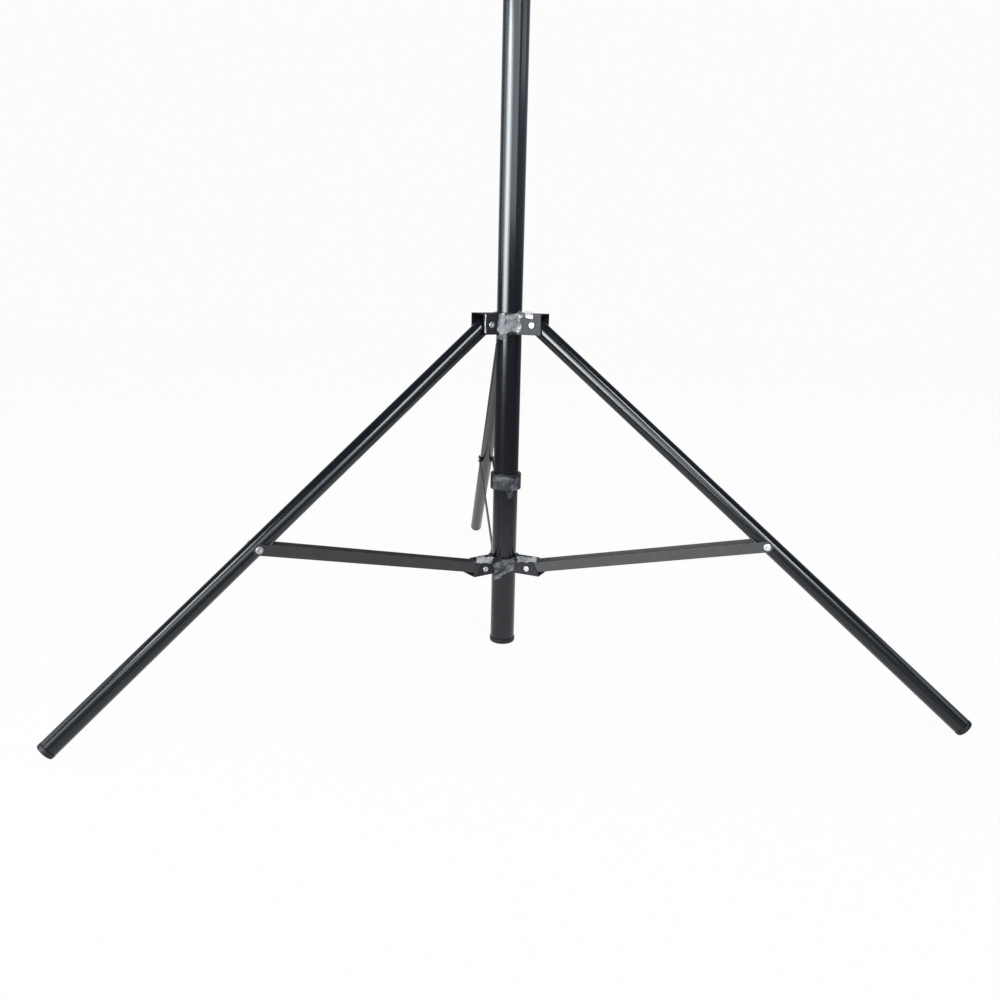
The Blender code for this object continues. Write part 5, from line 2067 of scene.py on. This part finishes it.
@dataclass(frozen=True)
class PhotoCamera:
    """The camera of the photograph: where it stood, and how it was aimed."""

    floor_height: float
    distance: float = 1.2448
    height: float = 0.5244
    pitch: float = 13.7972
    pan: float = -0.3462
    roll: float = 1.2427
    yaw: float = 5.7468
    focal_pixels: float = 890.625
    image_pixels: float = 1000.0
    sensor: float = 36.0

    def build(self) -> None:
        """Add the camera and make it the scene's."""
        pitch, pan, roll = (math.radians(angle) for angle in (self.pitch, self.pan, self.roll))
        forward = Vector((math.sin(pan) * math.cos(pitch), math.cos(pan) * math.cos(pitch), -math.sin(pitch)))
        level = forward.cross(Vector((0, 0, 1))).normalized()
        upright = level.cross(forward)
        right = math.cos(roll) * level + math.sin(roll) * upright
        up = math.cos(roll) * upright - math.sin(roll) * level
        turn = Matrix((right, up, -forward)).transposed().to_4x4()
        stand = Matrix.Translation((0, -self.distance, self.floor_height + self.height))
        data = bpy.data.cameras.new("photo_camera")
        data.sensor_width = self.sensor
        data.lens = self.focal_pixels / self.image_pixels * self.sensor
        camera = bpy.data.objects.new("photo_camera", data)
        bpy.context.scene.collection.objects.link(camera)
        camera.matrix_world = Matrix.Rotation(-math.radians(self.yaw), 4, "Z") @ stand @ turn
        bpy.context.scene.camera = camera


def joint_table(frame: dict) -> dict[str, dict]:
    """The frame's joints by name."""
    return {joint["name"]: joint for joint in frame["joints"]}


def main() -> None:
    """Build the stand, the studio and the camera."""
    logging.basicConfig(level=logging.INFO, format="%(name)s: %(message)s")
    for obj in list(bpy.data.objects):
        bpy.data.objects.remove(obj, do_unlink=True)
    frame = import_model()
    solid_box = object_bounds()
    joints = joint_table(frame)
    gap, rivets, knob, boss, spigot = Clearance(), Rivets(), WingKnob(), Boss(), Spigot()
    collar = LockCollar(gap, knob, boss)
    column = Column(gap)
    column.build()
    upper = {side: Vector(joints[f"leg_{side}_fold"]["pos_m"]) for side in SIDES}
    lower = {side: Vector(joints[f"brace_{side}_fold"]["pos_m"]) for side in SIDES}
    axes = {side: Vector(joints[f"leg_{side}_fold"]["axis"]) for side in SIDES}
    meetings = {side: middle_of(f"leg_{side}_joint_pin") for side in SIDES}
    lower_hub = LowerHub(gap, "lower_hub", Body.COLUMN, lower, column.radius + gap.fit, rivets)
    lower_hub.dress()
    upper_hub = UpperHub(gap, "upper_hub", Body.UPPER_HUB, upper, column.radius + gap.running, rivets)
    upper_hub.dress(knob, boss)
    Legs(gap, rivets, upper, meetings, axes).build()
    Braces(gap, rivets, lower, meetings, axes).build()
    Mast(gap, column, collar, spigot).build()
    tilt = joints["boom_tilt"]["pos_m"][2]
    BoomHead(gap, knob, boss, tilt).build()
    clamp = BoomClamp(gap, knob, boss, tilt)
    clamp.build()
    Boom(gap, column, collar, spigot, tilt + clamp.boom_rise).build()
    Wrapping(upper_hub, lower_hub, heights("stop_collar")[0]).build()
    keep_inner_pieces()
    floor_height = solid_box[0].z
    Studio(floor_height).build()
    PhotoCamera(floor_height).build()
    bpy.context.scene.view_settings.view_transform = "Standard"


if __name__ == "__main__":
    main()
